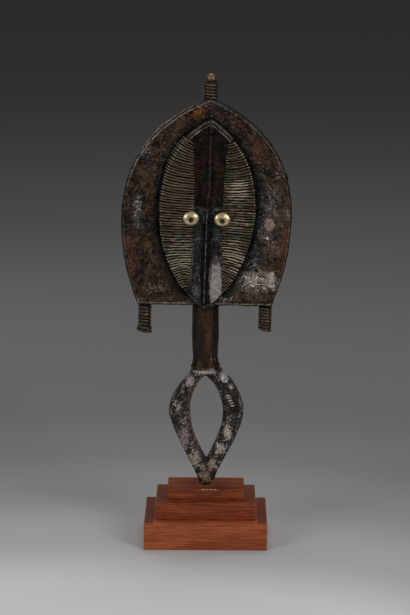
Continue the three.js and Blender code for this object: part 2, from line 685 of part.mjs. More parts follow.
// A winding of wire about a stub: turns side by side, the last of them wider by loose.
function winding(radius, low, high, turns, loose) {
  const pitch = (high - low) / turns;
  const profile = [];
  for (let k = 0; k < turns; k += 1) {
    const outer = radius + (k < LOOSE_TURNS ? loose : 0);
    profile.push([outer - COIL_WIRE * 0.35, low + k * pitch]);
    profile.push([outer, low + (k + 0.3) * pitch]);
    profile.push([outer, low + (k + 0.7) * pitch]);
  }
  profile.push([radius - COIL_WIRE * 0.35, high]);
  profile.push([radius - COIL_WIRE, high]);
  profile.push([radius - COIL_WIRE, low]);
  return turned(profile, { closed: true });
}

// A winding in its place, cut where it meets the sheets.
function placedWinding(across, ...rest) {
  const geometry = winding(...rest);
  geometry.translate(across, BOARD_MIDDLE, 0);
  return surface(solid(geometry).subtract(headBoard(SKIN + GAP)));
}

function hangingWinding(across, length, turns, loose) {
  return placedWinding(across, STUB_RADIUS, stubFoot(across, length), lowerEdge(across), turns, loose);
}

function finialCap() {
  const foot = FINIAL_TOP + GAP;
  const profile = [[0, foot], [CAP_RADIUS, foot]];
  const rings = 4;
  for (let k = 1; k < rings; k += 1) {
    const turn = (k / rings) * Math.PI / 2;
    profile.push([CAP_RADIUS * Math.cos(turn), foot + CAP_HEIGHT * Math.sin(turn)]);
  }
  profile.push([0, foot + CAP_HEIGHT]);
  const geometry = turned(profile);
  geometry.translate(0, BOARD_MIDDLE, 0);
  return geometry;
}

// The scene

const figure = new THREE.Group();
const head = new THREE.Group();
head.position.set(HEAD_SHIFT, 0, HEAD_LEVEL);
head.rotation.y = THREE.MathUtils.degToRad(HEAD_LEAN);
figure.add(head);

function add(group, name, geometry, material) {
  const mesh = new THREE.Mesh(geometry, material);
  mesh.name = name;
  group.add(mesh);
}

const middleFoot = LOWER_BOARD_HEIGHT;
const upperFoot = LOWER_BOARD_HEIGHT + MIDDLE_BOARD_HEIGHT;
add(figure, 'plinth_lower_board', plinthBoard(0, 0, LOWER_BOARD_HEIGHT), mahoganyDark);
add(figure, 'plinth_middle_board', plinthBoard(1, middleFoot, MIDDLE_BOARD_HEIGHT), mahoganyBrown);
add(figure, 'plinth_upper_board', plinthBoard(2, upperFoot, UPPER_BOARD_HEIGHT), mahoganyWarm);
add(figure, 'wooden_figure', surface(woodenFigure()), oldWood);
add(figure, 'neck_sheet', surface(neckSheet()), darkCopper);

const skin = surroundSkin();
const halfGap = GAP / 2;
const crestLeft = surroundSheet(skin, [-SEAM_CREST_LEFT + halfGap, FACE_LEFT_WAIST], [-halfGap, FAR]);
const crestRight = surroundSheet(skin, [halfGap, SEAM_CREST_RIGHT + halfGap], [FAR, FAR]);
const outerLeft = block([-FAR, -FAR, -FAR], [-SEAM_CREST_LEFT - halfGap, FAR, FAR]);
const lowerLeft = block([-FAR, -FAR, -FAR], [0, FAR, FACE_LEFT_WAIST - GAP]);
const sideLeft = skin.intersect(outerLeft.add(lowerLeft));
const sideRight = surroundSheet(skin, [halfGap, -FAR], [FAR, SEAM_CREST_RIGHT - halfGap]);
add(head, 'crest_sheet_left', surface(crestLeft), darkCopper);
add(head, 'crest_sheet_right', surface(crestRight), darkCopper);
add(head, 'side_sheet_left', surface(sideLeft), darkCopper);
add(head, 'side_sheet_right', surface(sideRight), darkCopper);

add(head, 'forehead_sheet', surface(bandSheet(BAND_LAP + halfGap, FAR)), blackCopper);
add(head, 'nose_sheet', surface(bandSheet(-FAR, BAND_LAP - halfGap)), blackCopper);
add(head, 'face_edging', surface(edging()), darkCopper);

for (const [name, side] of [['left', -1], ['right', 1]]) {
  add(head, `${name}_cheek_wires`, cheekWires(side), wireBrass);
  add(head, `${name}_eye_disc`, surface(eyeDisc(side)), eyeBrass);
  add(head, `${name}_eye_nail`, surface(placedNail(side, 0)), iron);
}

const leftWinding = hangingWinding(-STUB_LEFT, STUB_LEFT_LENGTH, STUB_LEFT_TURNS, LOOSE_BY);
const rightWinding = hangingWinding(STUB_RIGHT, STUB_RIGHT_LENGTH, STUB_RIGHT_TURNS, 0);
const finialWinding = placedWinding(0, FINIAL_RADIUS, HEAD_RISE - COIL_WIRE, FINIAL_TOP, FINIAL_TURNS, 0);
add(head, 'left_stub_winding', leftWinding, wireBrass);
add(head, 'right_stub_winding', rightWinding, wireBrass);
add(head, 'finial_winding', finialWinding, wireBrass);
add(head, 'finial_cap', finialCap(), eyeBrass);

export default figure;
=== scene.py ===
"""The looks of a kota reliquary figure on its stepped plinth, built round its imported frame.

The axes are the frame's own: +Z up, the figure facing -Y, left and right as seen from the front. Sizes in the
classes are millimetres and become metres where a mesh or a material is made.
"""

import logging
import math
from abc import ABC, abstractmethod
from collections.abc import Iterator
from contextlib import contextmanager
from dataclasses import dataclass
from enum import Enum

import bpy
import numpy as np
from mathutils import Matrix, Vector, noise


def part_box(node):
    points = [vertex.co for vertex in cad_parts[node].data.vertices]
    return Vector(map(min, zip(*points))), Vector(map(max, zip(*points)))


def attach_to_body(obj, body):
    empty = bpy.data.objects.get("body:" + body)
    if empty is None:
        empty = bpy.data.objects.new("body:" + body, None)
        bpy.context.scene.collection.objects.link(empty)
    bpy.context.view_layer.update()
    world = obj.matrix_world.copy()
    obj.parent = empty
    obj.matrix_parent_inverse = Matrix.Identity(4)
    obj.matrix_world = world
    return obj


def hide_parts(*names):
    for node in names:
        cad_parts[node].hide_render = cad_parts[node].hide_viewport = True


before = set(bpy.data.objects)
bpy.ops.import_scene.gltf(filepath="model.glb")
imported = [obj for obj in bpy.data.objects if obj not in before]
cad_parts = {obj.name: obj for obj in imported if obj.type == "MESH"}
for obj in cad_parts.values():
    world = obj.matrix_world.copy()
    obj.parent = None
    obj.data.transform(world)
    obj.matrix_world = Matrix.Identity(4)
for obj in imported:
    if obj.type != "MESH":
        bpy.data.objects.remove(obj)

LOG = logging.getLogger("figure")
MM = 0.001
BODY = "root"
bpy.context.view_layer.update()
LEFTWARDS, RIGHTWARDS, UPWARDS, DOWNWARDS = (-1, 0, 0), (1, 0, 0), (0, 0, 1), (0, 0, -1)

Piece = bpy.types.Object
Material = bpy.types.Material
Array = np.ndarray
Place = tuple[float, float, float]
Tint = tuple[float, float, float]


class Slot(Enum):
    """The record's material slots."""

    MAHOGANY = "mahogany"
    WOOD = "carved_wood"
    COPPER = "copper_sheet"
    DARK_SHEET = "dark_sheet"
    EDGING = "edging"
    WIRE = "brass_wire"
    COIL = "coil_wire"
    BRASS = "polished_brass"
    NAIL = "nail"


class Side(Enum):
    """The two sides of the head, as seen from the front."""

    LEFT = -1
    RIGHT = 1

    @property
    def word(self) -> str:
        """The side's name as the nodes have it."""
        return self.name.lower()


@dataclass(frozen=True)
class Pair:
    """A size or a shape that differs between the two sides."""

    left: object
    right: object

    def __getitem__(self, side: Side) -> object:
        """Gives the one of a side."""
        return self.left if side is Side.LEFT else self.right


class Grain(Enum):
    """How a stain is broken up."""

    FINE = "fine"
    COARSE = "coarse"
    CRUSTY = "crusty"
    SOLID = "solid"


FINE, COARSE, CRUSTY, SOLID = Grain


# Work on meshes


def only(piece: Piece) -> Piece:
    """Selects one piece alone and makes it the active one.

    Args:
        piece: The piece.

    Returns:
        The piece.
    """
    bpy.ops.object.select_all(action="DESELECT")
    piece.select_set(True)
    bpy.context.view_layer.objects.active = piece
    return piece


def named(name: str) -> Piece:
    """Names the piece that an operator has just made and settles its place into its mesh.

    Args:
        name: The name.

    Returns:
        The piece.
    """
    piece = bpy.context.object
    piece.name = piece.data.name = name
    only(piece)
    bpy.ops.object.transform_apply(location=True, rotation=True, scale=True)
    return piece


@contextmanager
def editing(piece: Piece, select: str | None = "SELECT") -> Iterator[None]:
    """Opens a piece in edit mode and closes it again.

    Args:
        piece: The piece.
        select: What is done to the selection first: SELECT, DESELECT or nothing.
    """
    only(piece)
    bpy.ops.object.mode_set(mode="EDIT")
    if select:
        bpy.ops.mesh.select_all(action=select)
    yield
    bpy.ops.object.mode_set(mode="OBJECT")


def vectors_of(piece: Piece, key: str) -> Array:
    """Reads one vector for each vertex of a mesh: co or normal.

    Args:
        piece: The piece.
        key: What is read.

    Returns:
        Vertices by 3.
    """
    flat = np.empty(len(piece.data.vertices) * 3, np.float32)
    piece.data.vertices.foreach_get(key, flat)
    return flat.reshape(-1, 3).astype(float)


def places_of(piece: Piece) -> Array:
    """Gives the places of a mesh's vertices, in millimetres."""
    return vectors_of(piece, "co") / MM


def set_places(piece: Piece, places: Array) -> None:
    """Moves the vertices of a mesh to new places, in millimetres."""
    piece.data.vertices.foreach_set("co", (places * MM).astype(np.float32).ravel())
    piece.data.update()


def push(piece: Piece, amounts: Array) -> None:
    """Moves each vertex along its normal by its own amount, in millimetres."""
    set_places(piece, places_of(piece) + vectors_of(piece, "normal") * amounts[:, None])


def modify(piece: Piece, kind: str, **settings: object) -> None:
    """Adds a modifier and applies it.

    Args:
        piece: The piece.
        kind: The modifier's type.
        settings: The modifier's settings.
    """
    only(piece)
    modifier = piece.modifiers.new(kind.lower(), kind)
    for key, value in settings.items():
        setattr(modifier, key, value)
    bpy.ops.object.modifier_apply(modifier=modifier.name)


def merge(piece: Piece, threshold: float) -> None:
    """Merges a mesh's doubles, in millimetres."""
    with editing(piece):
        bpy.ops.mesh.remove_doubles(threshold=threshold * MM)


def turn_outwards(piece: Piece) -> None:
    """Turns the faces of closed shells outwards."""
    with editing(piece):
        bpy.ops.mesh.normals_make_consistent(inside=False)


def flip(piece: Piece) -> None:
    """Turns all faces of a sheet round."""
    with editing(piece):
        bpy.ops.mesh.flip_normals()


def bisect(piece: Piece, point: Place | Array, way: Place | Array, fill: bool = False) -> None:
    """Cuts away what lies past a plane.

    Args:
        piece: The piece.
        point: A point of the plane, in metres.
        way: The way towards what goes.
        fill: Whether the cut is closed.
    """
    with editing(piece):
        bpy.ops.mesh.bisect(plane_co=tuple(point), plane_no=tuple(way), clear_outer=True, use_fill=fill)


def smooth(piece: Piece, degrees: float) -> None:
    """Shades a piece smooth, with edges past this angle left sharp."""
    only(piece)
    bpy.ops.object.shade_smooth_by_angle(angle=math.radians(degrees))


def thicken(sheet: Piece, thick: float) -> None:
    """Gives an open sheet its thickness, in millimetres, behind its front."""
    modify(sheet, "SOLIDIFY", thickness=thick * MM, offset=-1)
    smooth(sheet, 45)


def joined(name: str, pieces: list[Piece]) -> Piece:
    """Joins pieces into one.

    Args:
        name: The name of the whole.
        pieces: The pieces.

    Returns:
        The whole.
    """
    bpy.ops.object.select_all(action="DESELECT")
    for piece in pieces:
        piece.select_set(True)
    bpy.context.view_layer.objects.active = pieces[0]
    bpy.ops.object.join()
    return named(name)


def copied(name: str, piece: Piece) -> Piece:
    """Makes a copy of a piece with a mesh of its own.

    Args:
        name: The copy's name.
        piece: The piece.

    Returns:
        The copy.
    """
    twin = piece.copy()
    twin.data = piece.data.copy()
    bpy.context.scene.collection.objects.link(twin)
    twin.name = twin.data.name = name
    return only(twin)


def laid_grid(name: str, table: Array, *kept: str) -> Piece:
    """Adds a grid and lays it on a surface.

    Args:
        name: The piece's name.
        table: For each row and column the place in the head's frame, then one number for each name in kept.
        kept: The names under which those numbers are kept for the material.

    Returns:
        The open sheet, its front towards -Y.
    """
    rows, columns, _ = table.shape
    bpy.ops.mesh.primitive_grid_add(x_subdivisions=columns - 1, y_subdivisions=rows - 1, size=1)
    sheet = named(name)
    set_places(sheet, HEAD.placed(table[..., :3]).reshape(-1, 3))
    if vectors_of(sheet, "normal")[:, 1].sum() > 0:
        flip(sheet)
    keep(sheet, **{key: table[..., 3 + k] for k, key in enumerate(kept)})
    return sheet


def keep(piece: Piece, **values: Array) -> None:
    """Keeps numbers for each vertex, by their names, for the material to read."""
    for name, each in values.items():
        layer = piece.data.attributes.new(name, "FLOAT", "POINT")
        layer.data.foreach_set("value", each.astype(np.float32).ravel())


def box_of(node: str) -> tuple[Array, Array]:
    """Gives the middle of a node's box and half its size, in millimetres."""
    low, high = (np.array(corner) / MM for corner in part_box(node))
    return (low + high) / 2, (high - low) / 2


def attach(piece: Piece, material: Material, node: str) -> None:
    """Dresses a finished piece, puts it on the body and lets it stand for its node.

    Args:
        piece: The piece.
        material: Its material.
        node: The CAD node that it replaces.
    """
    piece.data.materials.clear()
    piece.data.materials.append(material)
    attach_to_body(piece, BODY)
    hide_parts(node)
    LOG.info("%s: %d faces", piece.name, len(piece.data.polygons))


class Assembly(ABC):
    """A group of pieces that is built and then dressed."""

    @abstractmethod
    def build(self) -> Piece | list[Piece]:
        """Makes the pieces."""

    @abstractmethod
    def dress(self, made: Piece | list[Piece]) -> None:
        """Gives the pieces their materials and lets them stand for their nodes."""

    def make(self) -> None:
        """Builds and dresses the group."""
        self.dress(self.build())


# Numbers along lines and over surfaces


def lumps(places: Array, size: float, seed: float, octaves: int = 2) -> Array:
    """Smooth noise, about -1 to 1, whose lumps are as wide as size.

    Args:
        places: The places, by 3.
        size: The width of a lump.
        seed: Shifts the noise.
        octaves: How many finer layers it has.

    Returns:
        A number for each place.
    """
    away = Vector((seed * 17.3, seed * 5.1, seed * 9.7))
    return np.array([noise.fractal(Vector(each) / size + away, 1.0, 2.0, octaves) for each in places])


def step(values: Array, low: float, high: float) -> Array:
    """A smooth step from 0 at low to 1 at high."""
    share = np.clip((np.asarray(values, float) - low) / (high - low), 0, 1)
    return share * share * (3 - 2 * share)


def bell(values: Array, middle: float, spread: float) -> Array:
    """A bell curve, 1 at the middle, that falls to a third where the square of the distance is the spread."""
    return np.exp(-((values - middle) ** 2) / spread)


def oval(places: Array, across: float, height: float, wide: float, high: float) -> Array:
    """How far places lie from an oval's middle as seen from the front, 1 on the oval."""
    return np.hypot((places[:, 0] - across) / wide, (places[:, 2] - height) / high)


def spot(places: Array, across: float, height: float, radius: float) -> Array:
    """A round hump, 1 in its middle, at a place as seen from the front."""
    return np.exp(-2 * oval(places, across, height, radius, radius) ** 2)


def column(*values: object) -> Array:
    """Sets numbers, or rows of numbers, side by side in one table."""
    return np.column_stack(np.broadcast_arrays(*values))


def upright(line: Array) -> Array:
    """Gives the points of a flat line a third number, 0, for the noise."""
    return np.column_stack([line, line[:, 0] * 0])


def resampled(line: Array, shares: Array) -> Array:
    """Gives the points of a line at these shares of its length."""
    run = run_of(line)
    return np.stack([np.interp(shares * run[-1], run, line[:, k]) for k in range(line.shape[1])], axis=1)


def run_of(line: Array) -> Array:
    """Gives how far along a line each of its points lies."""
    return np.concatenate([[0], np.cumsum(np.linalg.norm(np.diff(line, axis=0), axis=1))])


def mitres(line: Array, side: Side, apex: bool = False) -> Array:
    """Gives, for each point of a line from an apex on, the way to go to move the line outwards by one.

    Args:
        line: The line's points, across and up.
        side: The side of the head on which it lies.
        apex: Whether its first point stays in line with its twin on the other side.

    Returns:
        The ways, across and up.
    """
    way = np.diff(line, axis=0)
    way /= np.linalg.norm(way, axis=1)[:, None]
    normal = side.value * np.stack([-way[:, 1], way[:, 0]], axis=1)
    before = np.concatenate([normal[:1], normal])
    after = np.concatenate([normal, normal[-1:]])
    ways = (before + after) / (1 + (before * after).sum(axis=1))[:, None]
    if apex:
        ways[0] = (0, 1 / ways[0, 1])
    return ways


@dataclass(frozen=True)
class Bend:
    """How a quarter of a leaf bends: its handles as shares of its half width and its rise."""

    upright: float
    across: float
    up: float

    def line(self, half: float, end: float, waist: float, rise: float) -> Array:
        """Draws the quarter from its widest point to its end.

        Args:
            half: The half width at the widest point.
            end: The half width at the end.
            waist: The height of the widest point.
            rise: The height from there to the end.

        Returns:
            The points, across and up.
        """
        t = np.linspace(0, 1, 400)[:, None]
        a = np.array([half, waist])
        b = np.array([half, waist + rise * self.upright])
        c = np.array([half * self.across, waist + rise * self.up])
        d = np.array([end, waist + rise])
        return a * (1 - t) ** 3 + 3 * b * t * (1 - t) ** 2 + 3 * c * t * t * (1 - t) + d * t**3


# The head's own frame and its outlines


@dataclass(frozen=True)
class Head:
    """The head's sizes. Its frame is across, then depth, then height over the eyes."""

    lean: float = 1.7
    shift: float = -0.5
    level: float = 399.3
    halves: Pair = Pair(100.9, 100.5)
    waist: float = 4
    rise: float = 146
    drop: float = 102.3
    drop_slant: float = 2.5
    corners: Pair = Pair(79, 81)
    crest_bends: Pair = Pair(Bend(0.51, 0.58, 0.815), Bend(0.59, 0.48, 0.86))
    jowl_bend: Bend = Bend(0.36, 0.95, 0.62)
    front: float = -8
    back: float = 11
    edge_run: float = 6
    edge_fall: float = 2
    face_rise: float = 9
    face_wall: float = 5.5
    face_halves: Pair = Pair(55, 56.7)
    face_waists: Pair = Pair(3, 12)
    face_top: float = 119.8
    face_drift: float = 1.8
    face_tip: float = 105
    upper_bends: Pair = Pair(Bend(0.53, 0.58, 0.868), Bend(0.395, 0.8, 0.738))
    lower_bends: Pair = Pair(Bend(0.16, 0.855, 0.702), Bend(0.31, 0.633, 0.82))
    skin: float = 1.3

    @property
    def middle(self) -> float:
        """The depth of the board's middle."""
        return (self.front + self.back) / 2

    @property
    def face_front(self) -> float:
        """The depth of the face's wooden front."""
        return self.front - self.face_rise

    def placed(self, places: Array) -> Array:
        """Turns places in the head's frame into places in the figure's.

        Args:
            places: Places, by 3 along the last axis.

        Returns:
            The places in the figure's frame.
        """
        turn = math.radians(self.lean)
        x, y, z = places[..., 0], places[..., 1], places[..., 2]
        across = x * math.cos(turn) + z * math.sin(turn) + self.shift
        return np.stack([across, y, z * math.cos(turn) - x * math.sin(turn) + self.level], axis=-1)

    def plane(self, way: Place, far: float = 0) -> tuple[Array, Array]:
        """Gives a plane across a way of the head's frame.

        Args:
            way: The way.
            far: How far along the way the plane lies.

        Returns:
            A point of the plane and the way, both in the figure's frame.
        """
        ahead = np.array(way, float)
        return self.placed(ahead * far), self.placed(ahead) - self.placed(np.zeros(3))

    def lower_edge(self, across: Array) -> Array:
        """The height of the board's lower edge at a place across."""
        left, right = self.corners.left, self.corners.right
        return -self.drop + self.drop_slant * (across - (right - left) / 2) / (left + right)

    def crest(self, side: Side) -> Array:
        """The board's outline from its apex to its widest point."""
        half, rise = side.value * self.halves[side], self.rise - self.waist
        return self.crest_bends[side].line(half, 0, self.waist, rise)[::-1]

    def jowl(self, side: Side) -> Array:
        """The board's outline from its widest point to its lower corner."""
        corner = side.value * self.corners[side]
        fall = self.lower_edge(corner) - self.waist
        return self.jowl_bend.line(side.value * self.halves[side], corner, self.waist, fall)

    def face_upper(self, side: Side) -> Array:
        """The face's outline from its apex to its widest point."""
        half, waist = side.value * self.face_halves[side], self.face_waists[side]
        return self.upper_bends[side].line(half, self.face_drift, waist, self.face_top - waist)[::-1]

    def face_lower(self, side: Side) -> Array:
        """The face's outline from its widest point to its tip."""
        half, waist = side.value * self.face_halves[side], self.face_waists[side]
        return self.lower_bends[side].line(half, 0, waist, -self.face_tip - waist)

    def face_edge(self, side: Side, heights: Array) -> Array:
        """How far out the face's edge lies at these heights, outwards on this side."""
        whole = np.concatenate([self.face_upper(side), self.face_lower(side)[1:]])[::-1]
        return np.interp(heights, whole[:, 1], side.value * whole[:, 0])


HEAD = Head()


@dataclass(frozen=True)
class Band:
    """The middle band of the face, between the wires of the two cheeks."""

    halves: Pair = Pair(15, 18.4)
    top: float = 96
    foot: float = 81
    top_spread: float = 3.4
    foot_spread: float = 4
    slope: float = 0.19
    lap: float = 19
    gap: float = 0.3

    def edge(self, side: Side, heights: Array) -> Array:
        """How far out the wires begin at these heights, without its sign."""
        top = self.top_spread * np.maximum(0, heights / self.top) ** 2
        return self.halves[side] + top + self.foot_spread * np.maximum(0, -heights / self.foot) ** 2

    def half(self, side: Side, heights: Array) -> Array:
        """How far out the band's sheets reach, above and below the wires too.

        Args:
            side: The side of the face.
            heights: Heights in the head's frame.

        Returns:
            How far out, without its sign.
        """
        high, low = self.top + self.gap, -self.foot - self.gap
        past = np.maximum(0, np.maximum(heights - high, low - heights)) / self.slope
        return np.minimum(HEAD.face_edge(side, heights), self.edge(side, np.clip(heights, low, high)) + past)


BAND = Band()


@dataclass(frozen=True)
class WireRun:
    """How the wires of one cheek run: by the height of their inner ends, how steeply they set out and end."""

    heights: tuple[float, ...]
    setting_out: tuple[float, ...]
    ending: tuple[float, ...]
    overhang: tuple[float, ...]

    def at(self, height: float) -> tuple[float, ...]:
        """Gives the slope at the inner end, the slope at the outer end and how far the wire hangs over."""
        lines = (self.setting_out, self.ending, self.overhang)
        return tuple(float(np.interp(height, self.heights, line)) for line in lines)


RUNS = Pair(
    WireRun(
        (-81, -74, -55, -45, -35, -20, 9, 16, 36, 50, 62, 70, 86, 96),
        (0.8, 0.6, 0.2, 0.02, 0, 0, 0, 0, 0, 0.02, 0.05, 0.08, 0.25, 0.3),
        (-1.1, -1.0, -0.5, -0.35, -0.12, 0, 0.07, 0.09, 0.22, 0.3, 0.37, 0.42, 0.6, 0.65),
        (0.8, 0.7, 0.7, 0.7, 0.7, 0.7, 0.7, 2.4, 3.0, 3.7, 4.7, 4.9, 4.9, 4.6),
    ),
    WireRun(
        (-81, -65, -50, -30, -20, -10, 10, 30, 45, 55, 70, 86, 96),
        (-0.55, -0.35, -0.1, -0.05, 0, 0, 0, 0, 0, -0.05, 0, -0.1, -0.1),
        (-0.7, -0.6, -0.4, -0.25, -0.2, -0.1, -0.02, 0, 0.24, 0.3, 0.45, 0.6, 0.6),
        (0.8, 0.7, 0.7, 0.7, 0.7, 0.7, 0.7, 0.7, 0.8, 0.9, 1.2, 1.6, 1.6),
    ),
)


# Materials


@dataclass(frozen=True)
class Stain:
    """A patch of another colour on a surface, at a place across and up as seen from the front."""

    across: float
    height: float
    wide: float
    high: float
    colour: Tint
    share: float = 1.0
    grain: Grain = FINE
    metal: float = 0.2


def stains_of(*rows: tuple) -> tuple[Stain, ...]:
    """Makes stains, in order, from rows of what a stain holds."""
    return tuple(Stain(*row) for row in rows)


def tint(colour: Tint) -> tuple[float, ...]:
    """Turns a colour as seen on a screen, 0 to 255, into the light that a surface gives back."""
    return tuple((each / 255) ** 2.2 for each in colour) + (1.0,)


@dataclass(frozen=True)
class Value:
    """An output in a material's graph. Arithmetic on it adds nodes."""

    graph: "Graph"
    socket: bpy.types.NodeSocket

    def __add__(self, other: object) -> "Value":
        """Adds a value, a number or a vector."""
        return self.graph.math("ADD", self, other)

    def __sub__(self, other: object) -> "Value":
        """Takes a value, a number or a vector away."""
        return self.graph.math("SUBTRACT", self, other)

    def __mul__(self, other: object) -> "Value":
        """Multiplies by a value or a number."""
        return self.graph.math("MULTIPLY", self, other)

    def __abs__(self) -> "Value":
        """Drops the sign."""
        return self.graph.math("ABSOLUTE", self)

    def part(self, axis: str) -> "Value":
        """Gives the X, Y or Z of a vector."""
        return self.graph.add("SeparateXYZ", axis, {0: self})

    def within(self, middle: float, reach: float) -> "Value":
        """Gives 1 where the value is within reach of a middle, 0 elsewhere."""
        return self.graph.math("COMPARE", self, middle, reach)

    def level(self, low: float, high: float) -> "Value":
        """Runs a share of 0 to 1 from low to high."""
        return self * (high - low) + low

    def ramp(self, low: float, high: float) -> "Value":
        """Steps smoothly from 0 at low to 1 at high. Low may be above high."""
        ends = (low, high, 0.0, 1.0) if low < high else (high, low, 1.0, 0.0)
        inputs = {"Value": self, **dict(zip(("From Min", "From Max", "To Min", "To Max"), ends))}
        return self.graph.add("MapRange", "Result", inputs, interpolation_type="SMOOTHSTEP")


class Graph:
    """A material's node graph, with the colour, the metal and the relief that it has so far."""

    def __init__(self, name: str, colour: Tint = (0, 0, 0), metal: float = 0.0, gloss: float = 0.5) -> None:
        """Starts a material with a bare shader.

        Args:
            name: The material's name.
            colour: Its first colour.
            metal: How metallic it is.
            gloss: How strongly it mirrors.
        """
        self.material = bpy.data.materials.new(name)
        self.material.use_nodes = True
        self.tree = self.material.node_tree
        self.gloss = gloss
        self.colour: object = tint(colour)
        self.metal: object = metal
        self.relief: Value | None = None
        self.place = self.add("TexCoord", "Object", {})

    def feed(self, node: bpy.types.Node, inputs: dict) -> None:
        """Links values into a node's inputs, or sets the inputs' own.

        Args:
            node: The node.
            inputs: Values, numbers or colours, by the input's name or number. None leaves an input alone.
        """
        for key, value in inputs.items():
            if isinstance(value, Value):
                self.tree.links.new(value.socket, node.inputs[key])
            elif value is not None:
                node.inputs[key].default_value = value

    def add(self, kind: str, output: object, inputs: dict, **settings: object) -> Value:
        """Adds a node.

        Args:
            kind: Its type, without the beginning that all have.
            output: The name or number of the output wanted.
            inputs: What goes into it.
            settings: Its own settings.

        Returns:
            The output.
        """
        node = self.tree.nodes.new("ShaderNode" + kind)
        for key, value in settings.items():
            setattr(node, key, value)
        self.feed(node, inputs)
        return Value(self, node.outputs[output])

    def math(self, operation: str, a: object, b: object = None, c: object = None) -> Value:
        """Adds a Math node, or a Vector Math node where b is a vector or a length is asked for.

        Args:
            operation: What it does.
            a: Its first input.
            b: Its second.
            c: Its third.

        Returns:
            Its output.
        """
        kind = "VectorMath" if isinstance(b, tuple) or operation == "LENGTH" else "Math"
        output = 1 if operation in ("LENGTH", "DOT_PRODUCT") else 0
        return self.add(kind, output, {0: a, 1: b, 2: c}, operation=operation)

    def kept(self, name: str) -> Value:
        """Reads a number kept for each vertex."""
        return self.add("Attribute", "Fac", {}, attribute_name=name)

    def stretched(self, along: Place) -> Value:
        """The object's places, drawn out by these factors."""
        return self.add("Mapping", 0, {"Vector": self.place, "Scale": tuple(1 / each for each in along)})

    def noise(
        self, size: float, detail: float = 3, rough: float = 0.55, warp: float = 0, at: Value | None = None
    ) -> Value:
        """Adds a noise whose lumps are about as wide as size, in millimetres."""
        inputs = {"Scale": 1 / (size * MM), "Detail": detail, "Roughness": rough, "Distortion": warp}
        return self.add("TexNoise", "Fac", {"Vector": at or self.place, **inputs})

    def near(self, centre: Place, reach: Place) -> Value:
        """Measures how far a point lies from a patch's middle, 1 at the patch's edge.

        Args:
            centre: The middle, in millimetres.
            reach: How far the patch reaches along each axis.

        Returns:
            The distance.
        """
        away = self.place - tuple(each * MM for each in centre)
        return self.math("LENGTH", self.math("DIVIDE", away, tuple(each * MM for each in reach)))

    def mix(self, share: Value, a: object, b: object) -> Value:
        """Mixes two colours."""
        return self.add("Mix", 2, {"Factor": share, 6: a, 7: b}, data_type="RGBA")

    def coat(self, share: Value, colour: Tint, strength: float = 1) -> None:
        """Lays a colour over the colour so far.

        Args:
            share: Where it lies, 0 to 1.
            colour: The colour.
            strength: How much of it at most.
        """
        self.colour = self.mix(share if strength == 1 else share * strength, self.colour, tint(colour))

    def stain(self, stains: tuple[Stain, ...], grains: dict[Grain, Value]) -> None:
        """Lays stains over the colour, and over the metal where that varies.

        Args:
            stains: The stains, in order.
            grains: For each kind of grain the noise that breaks it up.
        """
        for each in stains:
            far = self.near((each.across, 0, each.height), (each.wide, 400, each.high))
            grain = grains[each.grain]
            if each.grain is SOLID:
                mask = (far + grain).ramp(1.62, 1.42) * each.share
            else:
                soft = {FINE: 0.07, COARSE: 0.16, CRUSTY: 0.045}[each.grain]
                mask = (grain + far.ramp(1.4, 0.0) * (each.share * 0.62)).ramp(0.8 - soft, 0.8 + soft)
            self.coat(mask, each.colour)
            if isinstance(self.metal, Value):
                self.metal = self.mix(mask, self.metal, (each.metal,) * 3 + (1.0,))

    def emboss(self, height: Value, depth: float) -> None:
        """Adds relief as deep as depth, in millimetres, to the relief so far."""
        inputs = {"Height": height, "Distance": depth * MM, "Strength": 1.0, "Normal": self.relief}
        self.relief = self.add("Bump", 0, inputs)

    def done(self, rough: object) -> Material:
        """Feeds the shader and gives the material back.

        Args:
            rough: How rough the surface is.

        Returns:
            The material.
        """
        look = {"Base Color": self.colour, "Metallic": self.metal, "Specular IOR Level": self.gloss}
        self.feed(self.tree.nodes["Principled BSDF"], {**look, "Roughness": rough, "Normal": self.relief})
        return self.material


@dataclass(frozen=True)
class Finish(ABC):
    """The looks of one material."""

    name: str

    @abstractmethod
    def material(self) -> Material:
        """Makes the material."""

    def shared(self) -> Material:
        """Gives the material, made only once however many pieces have it."""
        return bpy.data.materials.get(self.name) or self.material()


